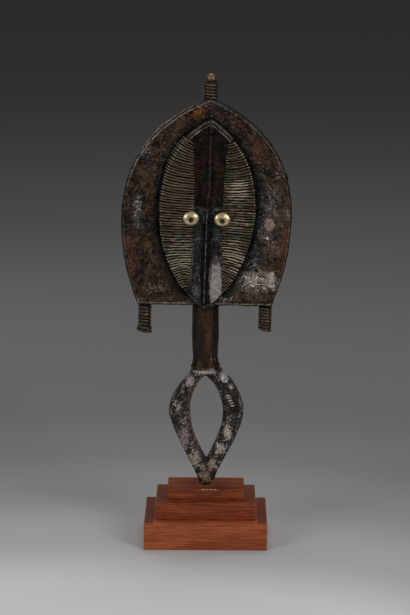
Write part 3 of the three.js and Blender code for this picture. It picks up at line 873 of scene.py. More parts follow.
@dataclass(frozen=True)
class Mahogany(Finish):
    """Varnished mahogany, its grain running across, with a row of pale marks where it is marked."""

    pale: Tint
    dark: Tint
    shaded_ledge: Tint
    shaded_ledge_from: float
    seed: float
    marked: bool = False
    streak: Tint = (62, 26, 15)
    pore: Tint = (40, 14, 6)
    rubbed: Tint = (140, 88, 66)
    mark: Tint = (246, 228, 204)
    glow: Tint = (168, 110, 54)

    def material(self) -> Material:
        """Makes the material."""
        graph = Graph(self.name, self.dark, gloss=0.35)
        shifted = graph.stretched((12, 1.5, 0.8)) + (self.seed, self.seed * 0.7, self.seed * 0.3)
        broad = graph.noise(4.2, 4, 0.62, 0.4, shifted)
        fine = graph.noise(1.1, 4, 0.7, 0, shifted)
        streaks = graph.noise(1.7, 3, 0.7, 0, graph.stretched((9, 1.5, 1)) + (self.seed, 2, 5))
        pores = graph.noise(0.7, 2, 0.5, 0, graph.stretched((26, 2, 1))).ramp(0.62, 0.74)
        graph.coat(broad.ramp(0.38, 0.62), self.pale)
        graph.coat(fine.ramp(0.42, 0.6), self.dark, 0.5)
        graph.coat(streaks.ramp(0.6, 0.7), self.streak, 0.55)
        graph.coat(streaks.ramp(0.4, 0.3), self.pale, 0.5)
        graph.coat(pores, self.pore, 0.4)
        # Painted shade: the upward faces towards the board's ends take the darker ledge colour.
        up = graph.add("NewGeometry", "Normal", {}).part("Z").ramp(0.75, 0.97)
        end = abs(graph.place.part("X")).ramp(self.shaded_ledge_from * MM, (self.shaded_ledge_from + 3) * MM)
        graph.coat(up * end, self.shaded_ledge, 0.85)
        # Pale edges: wear, and a painted highlight along the arrises.
        graph.coat(graph.kept("worn"), self.rubbed, 0.5)
        if self.marked:
            graph.coat(self.marks(graph), self.mark)
            graph.coat((graph.near((0, -2, 68.5), (14, 13, 3)) + broad).ramp(1.7, 1.0), self.glow, 0.6)
        graph.emboss(pores + fine * -0.6, -0.06)
        return graph.done(graph.noise(5, 3, 0.6).level(0.36, 0.54))

    def marks(self, graph: Graph) -> Value:
        """Four short pale strokes along the board's front top edge.

        Args:
            graph: The material's graph.

        Returns:
            Where the strokes are.
        """
        first, pitch, long, edge, level = -6.0, 5.0, 0.31, -24.8, 68.9
        along = graph.math("DIVIDE", graph.place.part("X") - first * MM, pitch * MM)
        row = graph.math("FRACT", along).within(0.5, long) * along.within(2.0, 2.0)
        depth = graph.place.part("Y").within(edge * MM, 0.9 * MM)
        height = graph.place.part("Z").within(level * MM, 0.6 * MM)
        return row * (depth * height) * graph.noise(2).level(0.55, 1.0)


@dataclass(frozen=True)
class CarvedWood(Finish):
    """Old dark wood under a dry crust of grey and pink earth."""

    stains: tuple[Stain, ...]
    dark: Tint = (17, 14, 13)
    brown: Tint = (48, 36, 27)
    film: Tint = (50, 40, 34)
    crust: Tint = (150, 134, 124)
    pale: Tint = (206, 194, 184)
    inner: Tint = (128, 102, 90)
    vein: Tint = (14, 12, 12)
    pit: Tint = (16, 13, 12)
    nick: Tint = (228, 216, 204)

    def material(self) -> Material:
        """Makes the material."""
        graph = Graph(self.name, self.dark, gloss=0.38)
        broad = graph.noise(13, 5, 0.68, 0.8)
        middle = graph.noise(6, 5, 0.75, 0.6)
        small = graph.noise(2.4, 4, 0.75, 0.4)
        both = middle * 0.55 + small * 0.45
        graph.coat(graph.noise(2.2, 4, 0.6, 0.3, graph.stretched((1, 1, 7))).ramp(0.36, 0.64), self.brown)
        graph.coat(both.ramp(0.49, 0.55), self.film, 0.7)
        # Painted light: the left arm's faces turned into the opening, towards the right-hand light, made
        # paler.
        graph.coat(self.inward(graph) * both.ramp(0.46, 0.54).level(0.4, 1), self.inner)
        lozenge = graph.place.part("Z").ramp(235 * MM, 215 * MM)
        crust = (both + broad * 0.4).ramp(0.725, 0.765) * lozenge.level(0.25, 1)
        graph.coat(crust, self.crust)
        graph.stain(self.stains, {FINE: small, COARSE: middle, CRUSTY: both, SOLID: broad})
        specks = small.ramp(0.58, 0.66) * middle.ramp(0.44, 0.54) * lozenge.level(0.15, 1)
        graph.coat(specks, self.pale)
        veins = abs(graph.noise(6, 3, 0.65, 1.2) - 0.5).ramp(0.034, 0.012) * small.ramp(0.62, 0.5)
        graph.coat(veins, self.vein, 0.9)
        graph.coat(small.ramp(0.44, 0.36), self.pit, 0.85)
        graph.coat(self.nicks(graph), self.nick)
        graph.emboss(crust + specks - veins, 0.5)
        graph.emboss(graph.noise(4.5, 1, 0.5), 1.6)
        return graph.done(small.ramp(0.42, 0.58).level(0.26, 0.75))

    def inward(self, graph: Graph) -> Value:
        """Marks the faces of the left arm that look into the opening, towards the right light, for painted
        light.
        """
        turned = graph.add("NewGeometry", "Normal", {}).part("X").ramp(0.25, 0.55)
        return turned * graph.place.part("X").ramp(-4 * MM, -8 * MM) * 0.75

    def nicks(self, graph: Graph) -> Value:
        """A row of five pale oblique nicks down the right arm.

        Args:
            graph: The material's graph.

        Returns:
            Where the nicks are.
        """
        start, pitch, reach, wide, count = (25.4, 0, 186.4), 3.5, 2.3, 0.85, 5.0
        away = graph.place - tuple(each * MM for each in start)
        along = graph.math("DOT_PRODUCT", away, tuple(Vector((0.43, 0, -0.9)) / (pitch * MM)))
        across = graph.math("DOT_PRODUCT", away, tuple(Vector((0.9, 0, 0.43)) / (reach * MM)))
        slanted = along - across * 0.22
        cell = abs(graph.math("FRACT", slanted) - 0.5)
        stroke = cell.ramp(wide / pitch, 0.5 * wide / pitch) * abs(across).ramp(1.1, 0.75)
        inside = slanted.within(count / 2, count / 2) * graph.place.part("Y").ramp(-6 * MM, -9 * MM)
        return stroke * inside * graph.noise(1.5, 2).level(0.6, 1.2)


@dataclass(frozen=True)
class WornSheet(Finish):
    """Old hammered sheet metal, dark with patina and dirt, with stains, rubbed edges, painted highlights and
    shade.
    """

    dark: Tint
    brown: Tint
    bloom: Tint
    rubbed: Tint
    stains: tuple[Stain, ...]
    cover: float
    metal: float
    rough: tuple[float, float]
    mottle: float
    gloss: float = 0.35
    rubbed_glint_flecks: float = 0.5
    drawn: float = 1
    relief: float = 1
    green: Tint = (62, 76, 74)
    grime_and_shade: Tint = (11, 10, 10)
    lit: Tint = (204, 194, 186)

    def material(self) -> Material:
        """Makes the material."""
        graph = Graph(self.name, self.dark, gloss=self.gloss)
        drawn = graph.stretched((1, 1, self.drawn))
        broad = graph.noise(17, 4, 0.6, 0.6, drawn)
        middle = graph.noise(6.5, 6, 0.75, 0.5, drawn)
        small = graph.noise(2.6, 5, 0.78, 0.3, drawn)
        fine = graph.noise(1.3, 3, 0.8)
        graph.metal = small.level(self.metal - 0.1, self.metal + 0.1)
        graph.coat((broad * 0.5 + middle * 0.5).ramp(0.43, 0.57), self.brown)
        bloom = (small + broad * self.cover).ramp(0.58 + self.cover * 0.35, 0.7 + self.cover * 0.35)
        graph.coat(bloom, self.bloom, 0.8)
        graph.stain(self.stains, {FINE: small, COARSE: middle, SOLID: middle})
        even = graph.kept("crumpled").level(self.mottle, self.mottle * 0.4)
        # Dark dents and pits: grime, and painted shade standing in for the hammered relief's contrast.
        graph.coat(small.ramp(0.53, 0.4) * middle.ramp(0.6, 0.44) * even, self.grime_and_shade, 0.92)
        graph.coat(fine.ramp(0.43, 0.33) * even, self.grime_and_shade, 0.6)
        # Pale flecks: rubbed high spots and painted glints.
        graph.coat(fine.ramp(0.57, 0.68) * middle.ramp(0.42, 0.56), self.rubbed, self.rubbed_glint_flecks)
        # Rubbed edges and lines where the pieces keep them, with a painted highlight along them.
        graph.coat(graph.kept("rubbed") * (small + middle).ramp(0.84, 1.1), self.rubbed)
        # Dirt and painted shade where the pieces keep them: in grooves and hollows, on walls and rims that
        # turn away, under laps and the hem.
        graph.coat(graph.kept("dirt") * middle.level(0.65, 1.2), self.grime_and_shade)
        folds, lit, shaded = self.creases(graph)
        # Painted shade on the creases' shaded flanks and painted highlight on their lit flanks.
        graph.coat(shaded, self.grime_and_shade)
        graph.coat(lit, self.lit)
        graph.coat(graph.kept("green") * small.ramp(0.5, 0.62), self.green)
        graph.emboss(graph.noise(3.4, 1, 0.5, 0.3), self.relief)
        graph.emboss(graph.noise(8.5, 1, 0.5, 0.5), 3 * self.relief)
        graph.emboss(folds, 1.8)
        return graph.done((middle + fine).ramp(0.8, 1.2).level(*self.rough) * bloom.level(1.0, 1.35))

    def creases(self, graph: Graph) -> tuple[Value, ...]:
        """Gives the creases of crumpled sheet: their height, their lit flanks and their shaded flanks.

        Args:
            graph: The material's graph.

        Returns:
            The three, each 0 to 1.
        """
        crumpled = graph.kept("crumpled")
        waves = graph.noise(15, 2, 0.5, 1.4)
        strong = crumpled.ramp(0.3, 0.9)
        rows = ((0.5, 0.1, crumpled), (0.485, 0.03, strong * 0.6), (0.55, 0.05, strong * 0.8))
        return tuple(abs(waves - level).ramp(reach, 0) * share for level, reach, share in rows)


@dataclass(frozen=True)
class RubbedWire(Finish):
    """Brass wire, rubbed on its crests, its round sides and the grooves between darkened with painted shade.
    """

    bright: Tint
    dull: Tint
    grooves_and_shade: Tint
    metal: float
    stains: tuple[Stain, ...] = ()
    grey: Tint = (136, 130, 124)
    greenish: Tint = (122, 116, 74)
    pinkish: Tint = (132, 106, 96)

    def material(self) -> Material:
        """Makes the material, which reads how high on the wire's crest a point lies."""
        graph = Graph(self.name, self.dull, self.metal)
        drawn = graph.noise(2.4, 3, 0.6, 0, graph.stretched((3.0, 1, 1)))
        long = graph.noise(5, 3, 0.65, 0, graph.stretched((2.5, 1, 1)))
        warm = graph.noise(8, 2, 0.5, 0, graph.place + (0.3, 0.1, 0.2))
        graph.coat((graph.noise(11, 3, 0.6) * 0.35 + long * 0.65).ramp(0.4, 0.64), self.bright)
        graph.coat(warm.ramp(0.5, 0.62), self.greenish, 0.6)
        graph.coat(warm.ramp(0.5, 0.4), self.pinkish, 0.6)
        graph.coat(drawn.ramp(0.6, 0.42), self.dull, 0.8)
        graph.stain(self.stains, {COARSE: long})
        graph.coat(graph.noise(1.6, 3, 0.75).ramp(0.5, 0.36), self.grooves_and_shade, 0.6)
        # Random darker wires, and the windings' loose turns in painted shade.
        graph.coat(graph.kept("shade"), self.grooves_and_shade, 0.55)
        graph.coat(graph.kept("grey"), self.grey, 0.8)
        graph.coat(graph.kept("glint"), self.bright, 0.7)
        # Painted shade down each wire's sides, away from its crest.
        graph.coat(graph.kept("crest").ramp(1.06, 0.64), self.grooves_and_shade)
        graph.emboss(graph.noise(1.3, 3, 0.6), 0.25)
        return graph.done(drawn.level(0.32, 0.6))


@dataclass(frozen=True)
class RubbedBrass(Finish):
    """Rubbed brass, brown where it is hollow and where the pieces keep painted shade."""

    bright: Tint
    brown: Tint
    rough: tuple[float, float]
    dirt: Tint = (46, 28, 16)

    def material(self) -> Material:
        """Makes the material."""
        graph = Graph(self.name, self.bright, 0.9)
        blotch = graph.noise(3.2, 4, 0.6, 0.3)
        graph.coat(blotch.ramp(0.48, 0.7), self.brown, 0.55)
        graph.coat(graph.kept("dirt"), self.dirt)
        graph.emboss(graph.noise(1.6, 3, 0.6), 0.12)
        return graph.done(blotch.level(*self.rough))


@dataclass(frozen=True)
class RustedIron(Finish):
    """The iron of the nails."""

    dark: Tint = (30, 22, 24)
    rust: Tint = (64, 42, 34)

    def material(self) -> Material:
        """Makes the material."""
        graph = Graph(self.name, self.dark, 0.5)
        rust = graph.noise(0.8, 4, 0.7)
        graph.coat(rust.ramp(0.4, 0.65), self.rust)
        graph.emboss(rust, 0.15)
        return graph.done(rust.level(0.4, 0.75))


# The plinth


@dataclass
class PlinthBoard(Assembly):
    """One board of the plinth, its place and size from the frame."""

    level: str
    finish: Mahogany
    seed: int
    arris: float = 1.1
    cuts: int = 34
    wear: float = 0.0042

    def build(self) -> Piece:
        """Makes the board with rounded, slightly worn edges."""
        low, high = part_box(f"plinth_{self.level}_board")
        bpy.ops.mesh.primitive_cube_add(size=1, location=(low + high) / 2, scale=high - low)
        board = named(f"mahogany_{self.level}_board")
        with editing(board):
            bpy.ops.mesh.subdivide(number_cuts=self.cuts)
        with editing(board, "DESELECT"):
            bpy.ops.mesh.select_mode(type="EDGE")
            bpy.ops.mesh.edges_select_sharp(sharpness=math.radians(60))
            bpy.ops.mesh.bevel(offset=self.arris * MM, segments=4, affect="EDGES")
        self.wear_down(board)
        smooth(board, 30)
        return board

    def wear_down(self, board: Piece) -> None:
        """Dents the board's edges a little and keeps where they are rubbed pale, with a painted highlight
        along them.

        Args:
            board: The board.
        """
        places = places_of(board)
        middle, half = box_of(f"plinth_{self.level}_board")
        inside = np.sort(half - np.abs(places - middle), axis=1)[:, 1]
        dents = np.maximum(0, lumps(places, 9, self.seed, 3)) * step(inside, 2.2, 0.1)
        set_places(board, places + (middle - places) * self.wear * dents[:, None])
        keep(board, worn=step(inside, 1.3, 0.3) * (0.55 + 0.6 * lumps(places, 12, self.seed + 3)).clip(0, 1))

    def dress(self, board: Piece) -> None:
        """Gives the board its wood and lets it stand for its node."""
        attach(board, self.finish.material(), f"plinth_{self.level}_board")


@dataclass
class Plinth:
    """The three stacked boards."""

    lower: Mahogany = Mahogany("mahogany_front", (174, 94, 54), (138, 66, 36), (94, 50, 42), 62, 0.0)
    middle: Mahogany = Mahogany("mahogany_middle", (154, 74, 38), (110, 47, 22), (104, 60, 44), 48, 3.1)
    upper: Mahogany = Mahogany("mahogany_upper", (150, 76, 42), (104, 46, 25), (130, 82, 58), 200, 7.7, True)

    def make(self) -> None:
        """Makes and dresses the boards."""
        for seed, level in enumerate(("lower", "middle", "upper"), 1):
            PlinthBoard(level, getattr(self, level), seed).make()


# The carved wood


@dataclass
class CarvedFigure(Assembly):
    """The wood of head, neck and lozenge, carved from one plank."""

    node: str = "wooden_figure"
    voxel: float = 1.25
    adze: float = 0.385
    crust: float = 0.35
    neck_foot: float = 217.5

    def build(self) -> Piece:
        """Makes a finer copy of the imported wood, rounds it and works its surface."""
        wood = copied("carved_wood_figure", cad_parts[self.node])
        wood.parent = None
        for key in list(wood.keys()):
            del wood[key]
        merge(wood, 0.02)
        turn_outwards(wood)
        modify(wood, "REMESH", mode="VOXEL", voxel_size=self.voxel * MM)
        modify(wood, "SMOOTH", factor=0.5, iterations=4)
        self.work(wood)
        smooth(wood, 60)
        return wood

    def work(self, wood: Piece) -> None:
        """Works the lozenge with adze marks and crust, and only sinks the wood under the sheets.

        Args:
            wood: The wood.
        """
        places = places_of(wood)
        bare = step(places[:, 2], self.neck_foot + 1, self.neck_foot - 2)
        facets = lumps(places * np.array([1, 1, 0.6]), 9, 2, 2) * self.adze
        lumpy = np.maximum(0, lumps(places, 3.2, 5, 3)) * self.crust
        under = -np.abs(lumps(places, 7, 8, 1)) * 0.12
        push(wood, bare * (facets + lumpy) + (1 - bare) * under)

    def dress(self, wood: Piece) -> None:
        """Gives the wood its crust and stains.

        Args:
            wood: The wood.
        """
        stains = stains_of(
            (34, 171, 9, 14, (20, 17, 17), 0.95, COARSE),
            (-34, 196, 6, 14, (22, 19, 18), 0.95, COARSE),
            (-2, 214, 24, 4, (200, 188, 178), 0.7),
            (-20, 204, 13, 17, (186, 170, 162), 0.58, CRUSTY),
            (-33, 170, 9, 14, (176, 164, 158), 0.56, CRUSTY),
            (-27, 130, 13, 30, (150, 138, 134), 0.66, CRUSTY),
            (-14, 104, 13, 22, (186, 170, 156), 0.64, CRUSTY),
            (22, 207, 12, 12, (206, 194, 184), 0.62, CRUSTY),
            # A small round painted highlight on the right arm.
            (29.9, 195, 1.9, 2.4, (236, 216, 202), 0.95, SOLID),
            (27, 138, 12, 20, (212, 198, 188), 0.62, CRUSTY),
            (17, 117, 12, 18, (204, 190, 180), 0.62, CRUSTY),
            (7, 96, 12, 17, (170, 152, 132), 0.61, CRUSTY),
            (-2, 82, 16, 17, (146, 126, 100), 0.62, CRUSTY),
            (4, 75, 10, 3, (176, 140, 84), 0.5),
        )
        attach(wood, CarvedWood("dry_carved_wood", stains).material(), self.node)


# The sheets of the surround


@dataclass
class Surround(Assembly):
    """The hammered copper sheets over the board's front and rim, folded over its back."""

    sheet: float = 0.8
    climb: tuple[float, ...] = (7.2, 5.6, 4.0, 2.6, 1.7)
    flat_columns: int = 44
    edge_columns: int = 14
    rim_columns: int = 8
    hem: float = 7
    hem_end: float = 13
    stations: tuple[int, int, int] = (170, 100, 64)
    face_low: float = -60
    seam_left: float = 54
    seam_right: float = 57
    lap: float = 4
    lap_rise: float = 0.9
    bead: float = 0.45
    bead_in: float = 2.4
    dish: float = 0.8
    shades: Pair = Pair(0.62, 0.3)
    tacks: tuple[tuple[float, float], ...] = (
        (-87.8, 420.4), (71.3, 463.1), (34.5, 527.2), (86.0, 462.5), (-44.8, 516.4), (-2.2, 538.0),
    )
    creases: tuple[tuple[float, ...], ...] = (
        (59, 326, 28, 17, 1.0), (80, 325, 8, 15, 0.8), (25, 304, 13, 7, 1.0), (-21.9, 303, 7, 6, 1.0),
        (52, 352, 9, 16, 0.7), (66, 388, 9, 16, 0.7), (80, 366, 12, 14, 0.7), (-60, 312, 22, 8, 0.4),
        (-84, 400, 6, 30, 0.3),
    )

    def outlines(self, side: Side) -> tuple[Array, ...]:
        """Gives matching stations along the board's outline and the face's, each with its outward mitres.

        Args:
            side: The side of the head.

        Returns:
            The board's stations and their mitres, the face's stations and their mitres.
        """
        lower = HEAD.face_lower(side)
        away = lower + mitres(lower, side) * (HEAD.face_wall + HEAD.skin + 1)
        meets = int(np.argmax(away[:, 1] < HEAD.lower_edge(away[:, 0]) + HEAD.edge_run - HEAD.skin))
        cut = int(np.argmax(lower[:, 1] < self.face_low))
        end, jowl = side.value * self.hem_end, HEAD.jowl(side)
        outer = (HEAD.crest(side), jowl, np.array([jowl[-1], [end, HEAD.lower_edge(end)]]))
        inner = (HEAD.face_upper(side), lower[: cut + 1], lower[cut : meets + 1])
        found = []
        for legs in (outer, inner):
            rows = [resampled(leg, np.linspace(0, 1, count)) for leg, count in zip(legs, self.stations)]
            line = np.concatenate(rows[:1] + [row[1:] for row in rows[1:]])
            found += [line, mitres(line, side, apex=True)]
        return tuple(found)

    def surface(self, side: Side) -> Array:
        """Lays out one half of the sheets' outer surface.

        Args:
            side: The side of the head.

        Returns:
            For each station and column its place, how rubbed and highlit, how dirty and shaded, and how green
            it is.
        """
        board, board_way, face, face_way = self.outlines(side)
        front, back = HEAD.front - HEAD.skin, HEAD.back + HEAD.skin
        wall = HEAD.skin / math.cos(math.atan(HEAD.face_wall / HEAD.face_rise))
        columns: list[Array] = []

        def add(line: Array, depth: object, rubbed: object, dirt: object, green: object = 0) -> None:
            """Adds one column of places at a depth."""
            columns.append(column(line[:, 0], depth, line[:, 1], rubbed, dirt, green))

        hang = np.interp(face[:, 1], RUNS[side].heights, RUNS[side].overhang)
        wired = step(face[:, 1], BAND.top + 8, BAND.top + 5) * step(face[:, 1], 7, 14)
        bare = 1 - wired * np.clip((hang - 0.7) / HEAD.face_wall, 0, 0.8)
        # Up the face's wall, dark with painted shade.
        for climbed in self.climb:
            height = climbed * bare
            grow = HEAD.face_wall * (1 - height / HEAD.face_rise) + wall
            add(face + face_way * grow[:, None], HEAD.front - height, 0, 0.85)
        start = face + face_way * (HEAD.face_wall + wall + 0.2)
        stop = board - board_way * (HEAD.edge_run - HEAD.skin)
        width = np.linalg.norm(stop - start, axis=1)
        for share in np.linspace(0, 1, self.flat_columns) ** 1.15:
            dished = self.dish * np.sin(math.pi * share) * step(width, 6, 30)
            inward = share * width
            # Painted shade and grime beside the face, reaching farther on the left.
            shade = np.maximum(0.85 * step(inward, 2.6, 0.6), self.shades[side] * step(inward, 12, 2))
            add(start + (stop - start) * share, front + dished, 0, shade, 0.8 * bell(inward, 4, 16))
        # Round the rim: a painted highlight along the bead, painted shade outside it and down the rim's side.
        for turn in np.linspace(0, math.pi / 2, self.edge_columns)[1:]:
            inset = HEAD.edge_run * (1 - math.sin(turn))
            past = inset - self.bead_in
            depth = front + HEAD.edge_fall * (1 - math.cos(turn)) - self.bead * bell(past, 0, 0.7225)
            dirt = 0.7 * step(past, -0.5, -1.3) + 0.5 * bell(past, 1.6, 0.64)
            add(board - board_way * (inset - HEAD.skin), depth, self.rub(board) * bell(past, 0, 0.49), dirt)
        for depth in np.linspace(front + HEAD.edge_fall, back - HEAD.edge_fall, self.rim_columns)[1:]:
            add(board + board_way * HEAD.skin, depth, 0, 0.7)
        for turn in np.linspace(math.pi / 2, 0, self.edge_columns)[1:]:
            inset = HEAD.edge_run * (1 - math.sin(turn)) - HEAD.skin
            add(board - board_way * inset, back - HEAD.edge_fall * (1 - math.cos(turn)), 0.1, 0.2)
        ragged = 0.9 * lumps(upright(board), 8, 4, 3)
        for share in (0.5, 1.0):
            inset = HEAD.edge_run - HEAD.skin + share * (self.hem - HEAD.edge_run + HEAD.skin + 1 + ragged)
            add(board - board_way * inset[:, None], back, 0.2, 0)
        return np.stack(columns, axis=1)

    def rub(self, board: Array) -> Array:
        """Gives how the rim is rubbed and highlit along the board's outline: most on the crest, left above
        right, and the hem.

        Args:
            board: The outline's stations.

        Returns:
            A number for each station.
        """
        crest = step(board[:, 1], 20, 70) * np.where(board[:, 0] > 0, 0.6, 1.6)
        hem = 2.2 * step(board[:, 1], -97, -99.5) * step(np.abs(board[:, 0]), 92, 80)
        return np.maximum(0.3, np.maximum(0.85 * crest, hem))

    def half(self, side: Side) -> Piece:
        """Makes one half of the surround as an open sheet, hammered and dented.

        Args:
            side: The side of the head.

        Returns:
            The half.
        """
        sheet = laid_grid(f"surround_{side.word}", self.surface(side), "rubbed", "dirt", "green")
        places = places_of(sheet)
        facing = places[:, 1] < 0
        keep(sheet, crumpled=self.crumpled(places) * facing)
        amounts = lumps(places, 12, 1 + side.value, 1) * 0.6 + lumps(places, 4.6, 3, 1) * 0.2
        amounts += np.minimum(0, lumps(places, 2.4, 9, 2) + 0.25) * 0.35 + 0.15
        if side is Side.RIGHT:
            amounts += self.encrusted(places) * facing
        for across, height in self.tacks:
            amounts += 0.7 * spot(places, across, height, 1.6) * facing
        push(sheet, amounts)
        return sheet

    def crumpled(self, places: Array) -> Array:
        """Gives how crumpled the sheet is at each place.

        Args:
            places: Places in the figure's frame.

        Returns:
            A share for each place.
        """
        total = np.full(len(places), 0.12)
        for *where, share in self.creases:
            total = np.maximum(total, share * step(oval(places, *where), 1.25, 0.5))
        return total

    def encrusted(self, places: Array) -> Array:
        """Gives the height of the crust on the lower right wing.

        Args:
            places: Places in the figure's frame.

        Returns:
            A height for each place.
        """
        crust = np.maximum(0, lumps(places, 5, 21, 3) + 0.1) * 0.9
        where = spot(places, 60, 324, 24) + spot(places, 66, 386, 14) + spot(places, 52, 348, 14)
        return crust * np.minimum(1, where) + step(oval(places, 74.6, 395.3, 6.5, 8.4), 1.1, 0.85) * 0.5

    def cut(self, sheet: Piece, name: str, *planes: tuple[Place, float]) -> Piece:
        """Makes a copy of a half and cuts away what lies past each plane.

        Args:
            sheet: The half.
            name: The copy's name.
            planes: For each plane a way in the head's frame and how far along it the plane lies.

        Returns:
            The copy.
        """
        part = copied(name, sheet)
        for way, far in planes:
            point, heading = HEAD.plane(way, far)
            bisect(part, point * MM, heading)
        return part

    def lift(self, sheet: Piece, way: Place, start: float) -> None:
        """Lifts a sheet where it laps over its neighbour and paints its edge pale, rubbed and highlit.

        Args:
            sheet: The sheet.
            way: The way towards the neighbour in the head's frame.
            start: How far along that way the lap begins.
        """
        root, heading = HEAD.plane(way)
        past = (places_of(sheet) - root) @ heading - start
        push(sheet, self.lap_rise * step(past, -1.2, 0.4))
        layer = sheet.data.attributes["rubbed"]
        rubbed = np.empty(len(past), np.float32)
        layer.data.foreach_get("value", rubbed)
        layer.data.foreach_set("value", np.maximum(rubbed, 0.3 * step(past, self.lap - 1.0, self.lap - 0.4)))

    def build(self) -> list[Piece]:
        """Makes the four sheets from the two halves."""
        left, right = self.half(Side.LEFT), self.half(Side.RIGHT)
        seam, waist = self.seam_left, HEAD.face_waists.left
        reach = seam + self.lap
        crest_left = self.cut(left, "copper_crest_sheet_left", (LEFTWARDS, reach), (DOWNWARDS, -waist))
        self.lift(crest_left, LEFTWARDS, seam)
        outer = self.cut(left, "copper_side_outer_left", (RIGHTWARDS, -seam))
        lower = self.cut(left, "copper_side_lower_left", (LEFTWARDS, seam), (UPWARDS, waist))
        side_left = joined("copper_side_sheet_left", [outer, lower])
        merge(side_left, 0.05)
        crest_right = self.cut(right, "copper_crest_sheet_right", (DOWNWARDS, self.lap - self.seam_right))
        self.lift(crest_right, DOWNWARDS, -self.seam_right)
        side_right = self.cut(right, "copper_side_sheet_right", (UPWARDS, self.seam_right))
        for half in (left, right):
            bpy.data.objects.remove(half)
        sheets = [crest_left, side_left, crest_right, side_right]
        for sheet in sheets:
            thicken(sheet, self.sheet)
        return sheets

    def dress(self, sheets: list[Piece]) -> None:
        """Gives all four sheets one patina with the stains of each place.

        Args:
            sheets: The sheets, in the order of building.
        """
        foil = (176, 160, 152)
        stains = stains_of(
            (-9, 528, 14, 12, (124, 76, 34), 0.66, FINE, 0.5),
            (-32, 513, 14, 12, (96, 68, 42), 0.5, FINE, 0.5),
            (16, 536, 13, 12, (32, 22, 26), 0.85, COARSE),
            (5.1, 525, 2.2, 9, (134, 142, 134), 0.62),
            (-72, 485, 12, 30, (122, 114, 110), 0.46, FINE, 0.5),
            (-82, 406, 11, 46, (60, 62, 60), 0.5, COARSE, 0.6),
            (-84, 412, 11, 44, (156, 154, 150), 0.45, FINE, 0.6),
            (-66, 430, 6, 36, (94, 58, 32), 0.6, FINE, 0.6),
            (-69, 372, 13, 24, (92, 74, 38), 0.5, FINE, 0.5),
            (-91, 350, 8, 46, (92, 60, 36), 0.6, FINE, 0.5),
            (-64, 318, 30, 14, (116, 100, 90), 0.44),
            (40, 514, 28, 14, (112, 66, 38), 0.4, FINE, 0.5),
            (62, 482, 14, 28, (98, 60, 34), 0.5, FINE, 0.5),
            (84, 458, 11, 26, (118, 106, 98), 0.44),
            (76, 400, 32, 60, (92, 82, 76), 0.6, COARSE, 0.5),
            # Dark teal beside the face: grime and painted shade.
            (62, 415, 11, 50, (40, 50, 54), 0.85, COARSE, 0.5),
            (74, 424, 24, 34, (158, 154, 150), 0.4, FINE, 0.5),
            (62, 404, 9, 40, (166, 172, 172), 0.36),
            (96, 409, 5, 12, (116, 110, 74), 0.5),
            (98, 406, 1.6, 10, (140, 120, 92), 0.6),
            (95, 364, 8, 44, (92, 62, 42), 0.95, COARSE, 0.5),
            # Dark teal beside the face: grime and painted shade.
            (57, 350, 14, 42, (36, 44, 47), 0.95, COARSE, 0.5),
            (57, 350, 14, 40, (162, 168, 166), 0.38),
            (66, 386, 8, 22, (174, 178, 176), 0.4, FINE, 0.5),
            (79, 368, 15, 17, (88, 66, 54), 0.8, COARSE, 0.5),
            (79, 370, 14, 16, (176, 160, 150), 0.36, FINE, 0.5),
            (60, 325, 33, 19, (140, 124, 116), 0.95, COARSE, 0.85),
            (57, 328, 30, 15, foil, 0.66, COARSE, 0.9),
            (60, 328, 30, 17, (206, 192, 184), 0.36, FINE, 0.7),
            # Painted glints on the crumpled foil.
            (57, 330, 14, 7, (226, 218, 212), 0.5, COARSE, 0.7),
            (79, 326, 6, 15, (186, 176, 170), 0.8, COARSE, 0.6),
            (64, 343, 9, 5, (92, 66, 48), 0.6, COARSE),
            (48, 346, 5, 6, (150, 146, 138), 0.5),
            (63, 306, 30, 5.5, (82, 62, 52), 0.9, COARSE, 0.5),
            # Dark teal by the face's tip: grime and painted shade in the gap.
            (25.8, 309, 8, 8, (30, 40, 40), 0.9, COARSE),
            (25.8, 309, 9, 9, (150, 154, 150), 0.36),
            (20, 303.5, 12, 3, foil, 0.75, FINE, 0.8),
            (-21.9, 302.4, 5, 6, foil, 0.7, FINE, 0.8),
            (74.6, 395.3, 6, 7.8, (152, 130, 120), 0.95, SOLID, 0.1),
            (74.6, 395.3, 7.5, 10, (100, 74, 62), 0.42),
            (72.8, 378.7, 1.7, 1.7, (190, 184, 174), 0.95, SOLID),
            *((x, z, 1.4, 1.4, (110, 100, 90), 0.8, SOLID, 0.6) for x, z in self.tacks),
        )
        material = WornSheet(
            "copper_patina", (32, 21, 16), (74, 48, 33), (88, 74, 62), (140, 126, 112), stains,
            cover=0.5, metal=0.45, rough=(0.25, 0.48), mottle=0.7, green=(50, 58, 54),
        ).material()
        nodes = ("crest_sheet_left", "side_sheet_left", "crest_sheet_right", "side_sheet_right")
        for sheet, node in zip(sheets, nodes):
            attach(sheet, material, node)


# The face


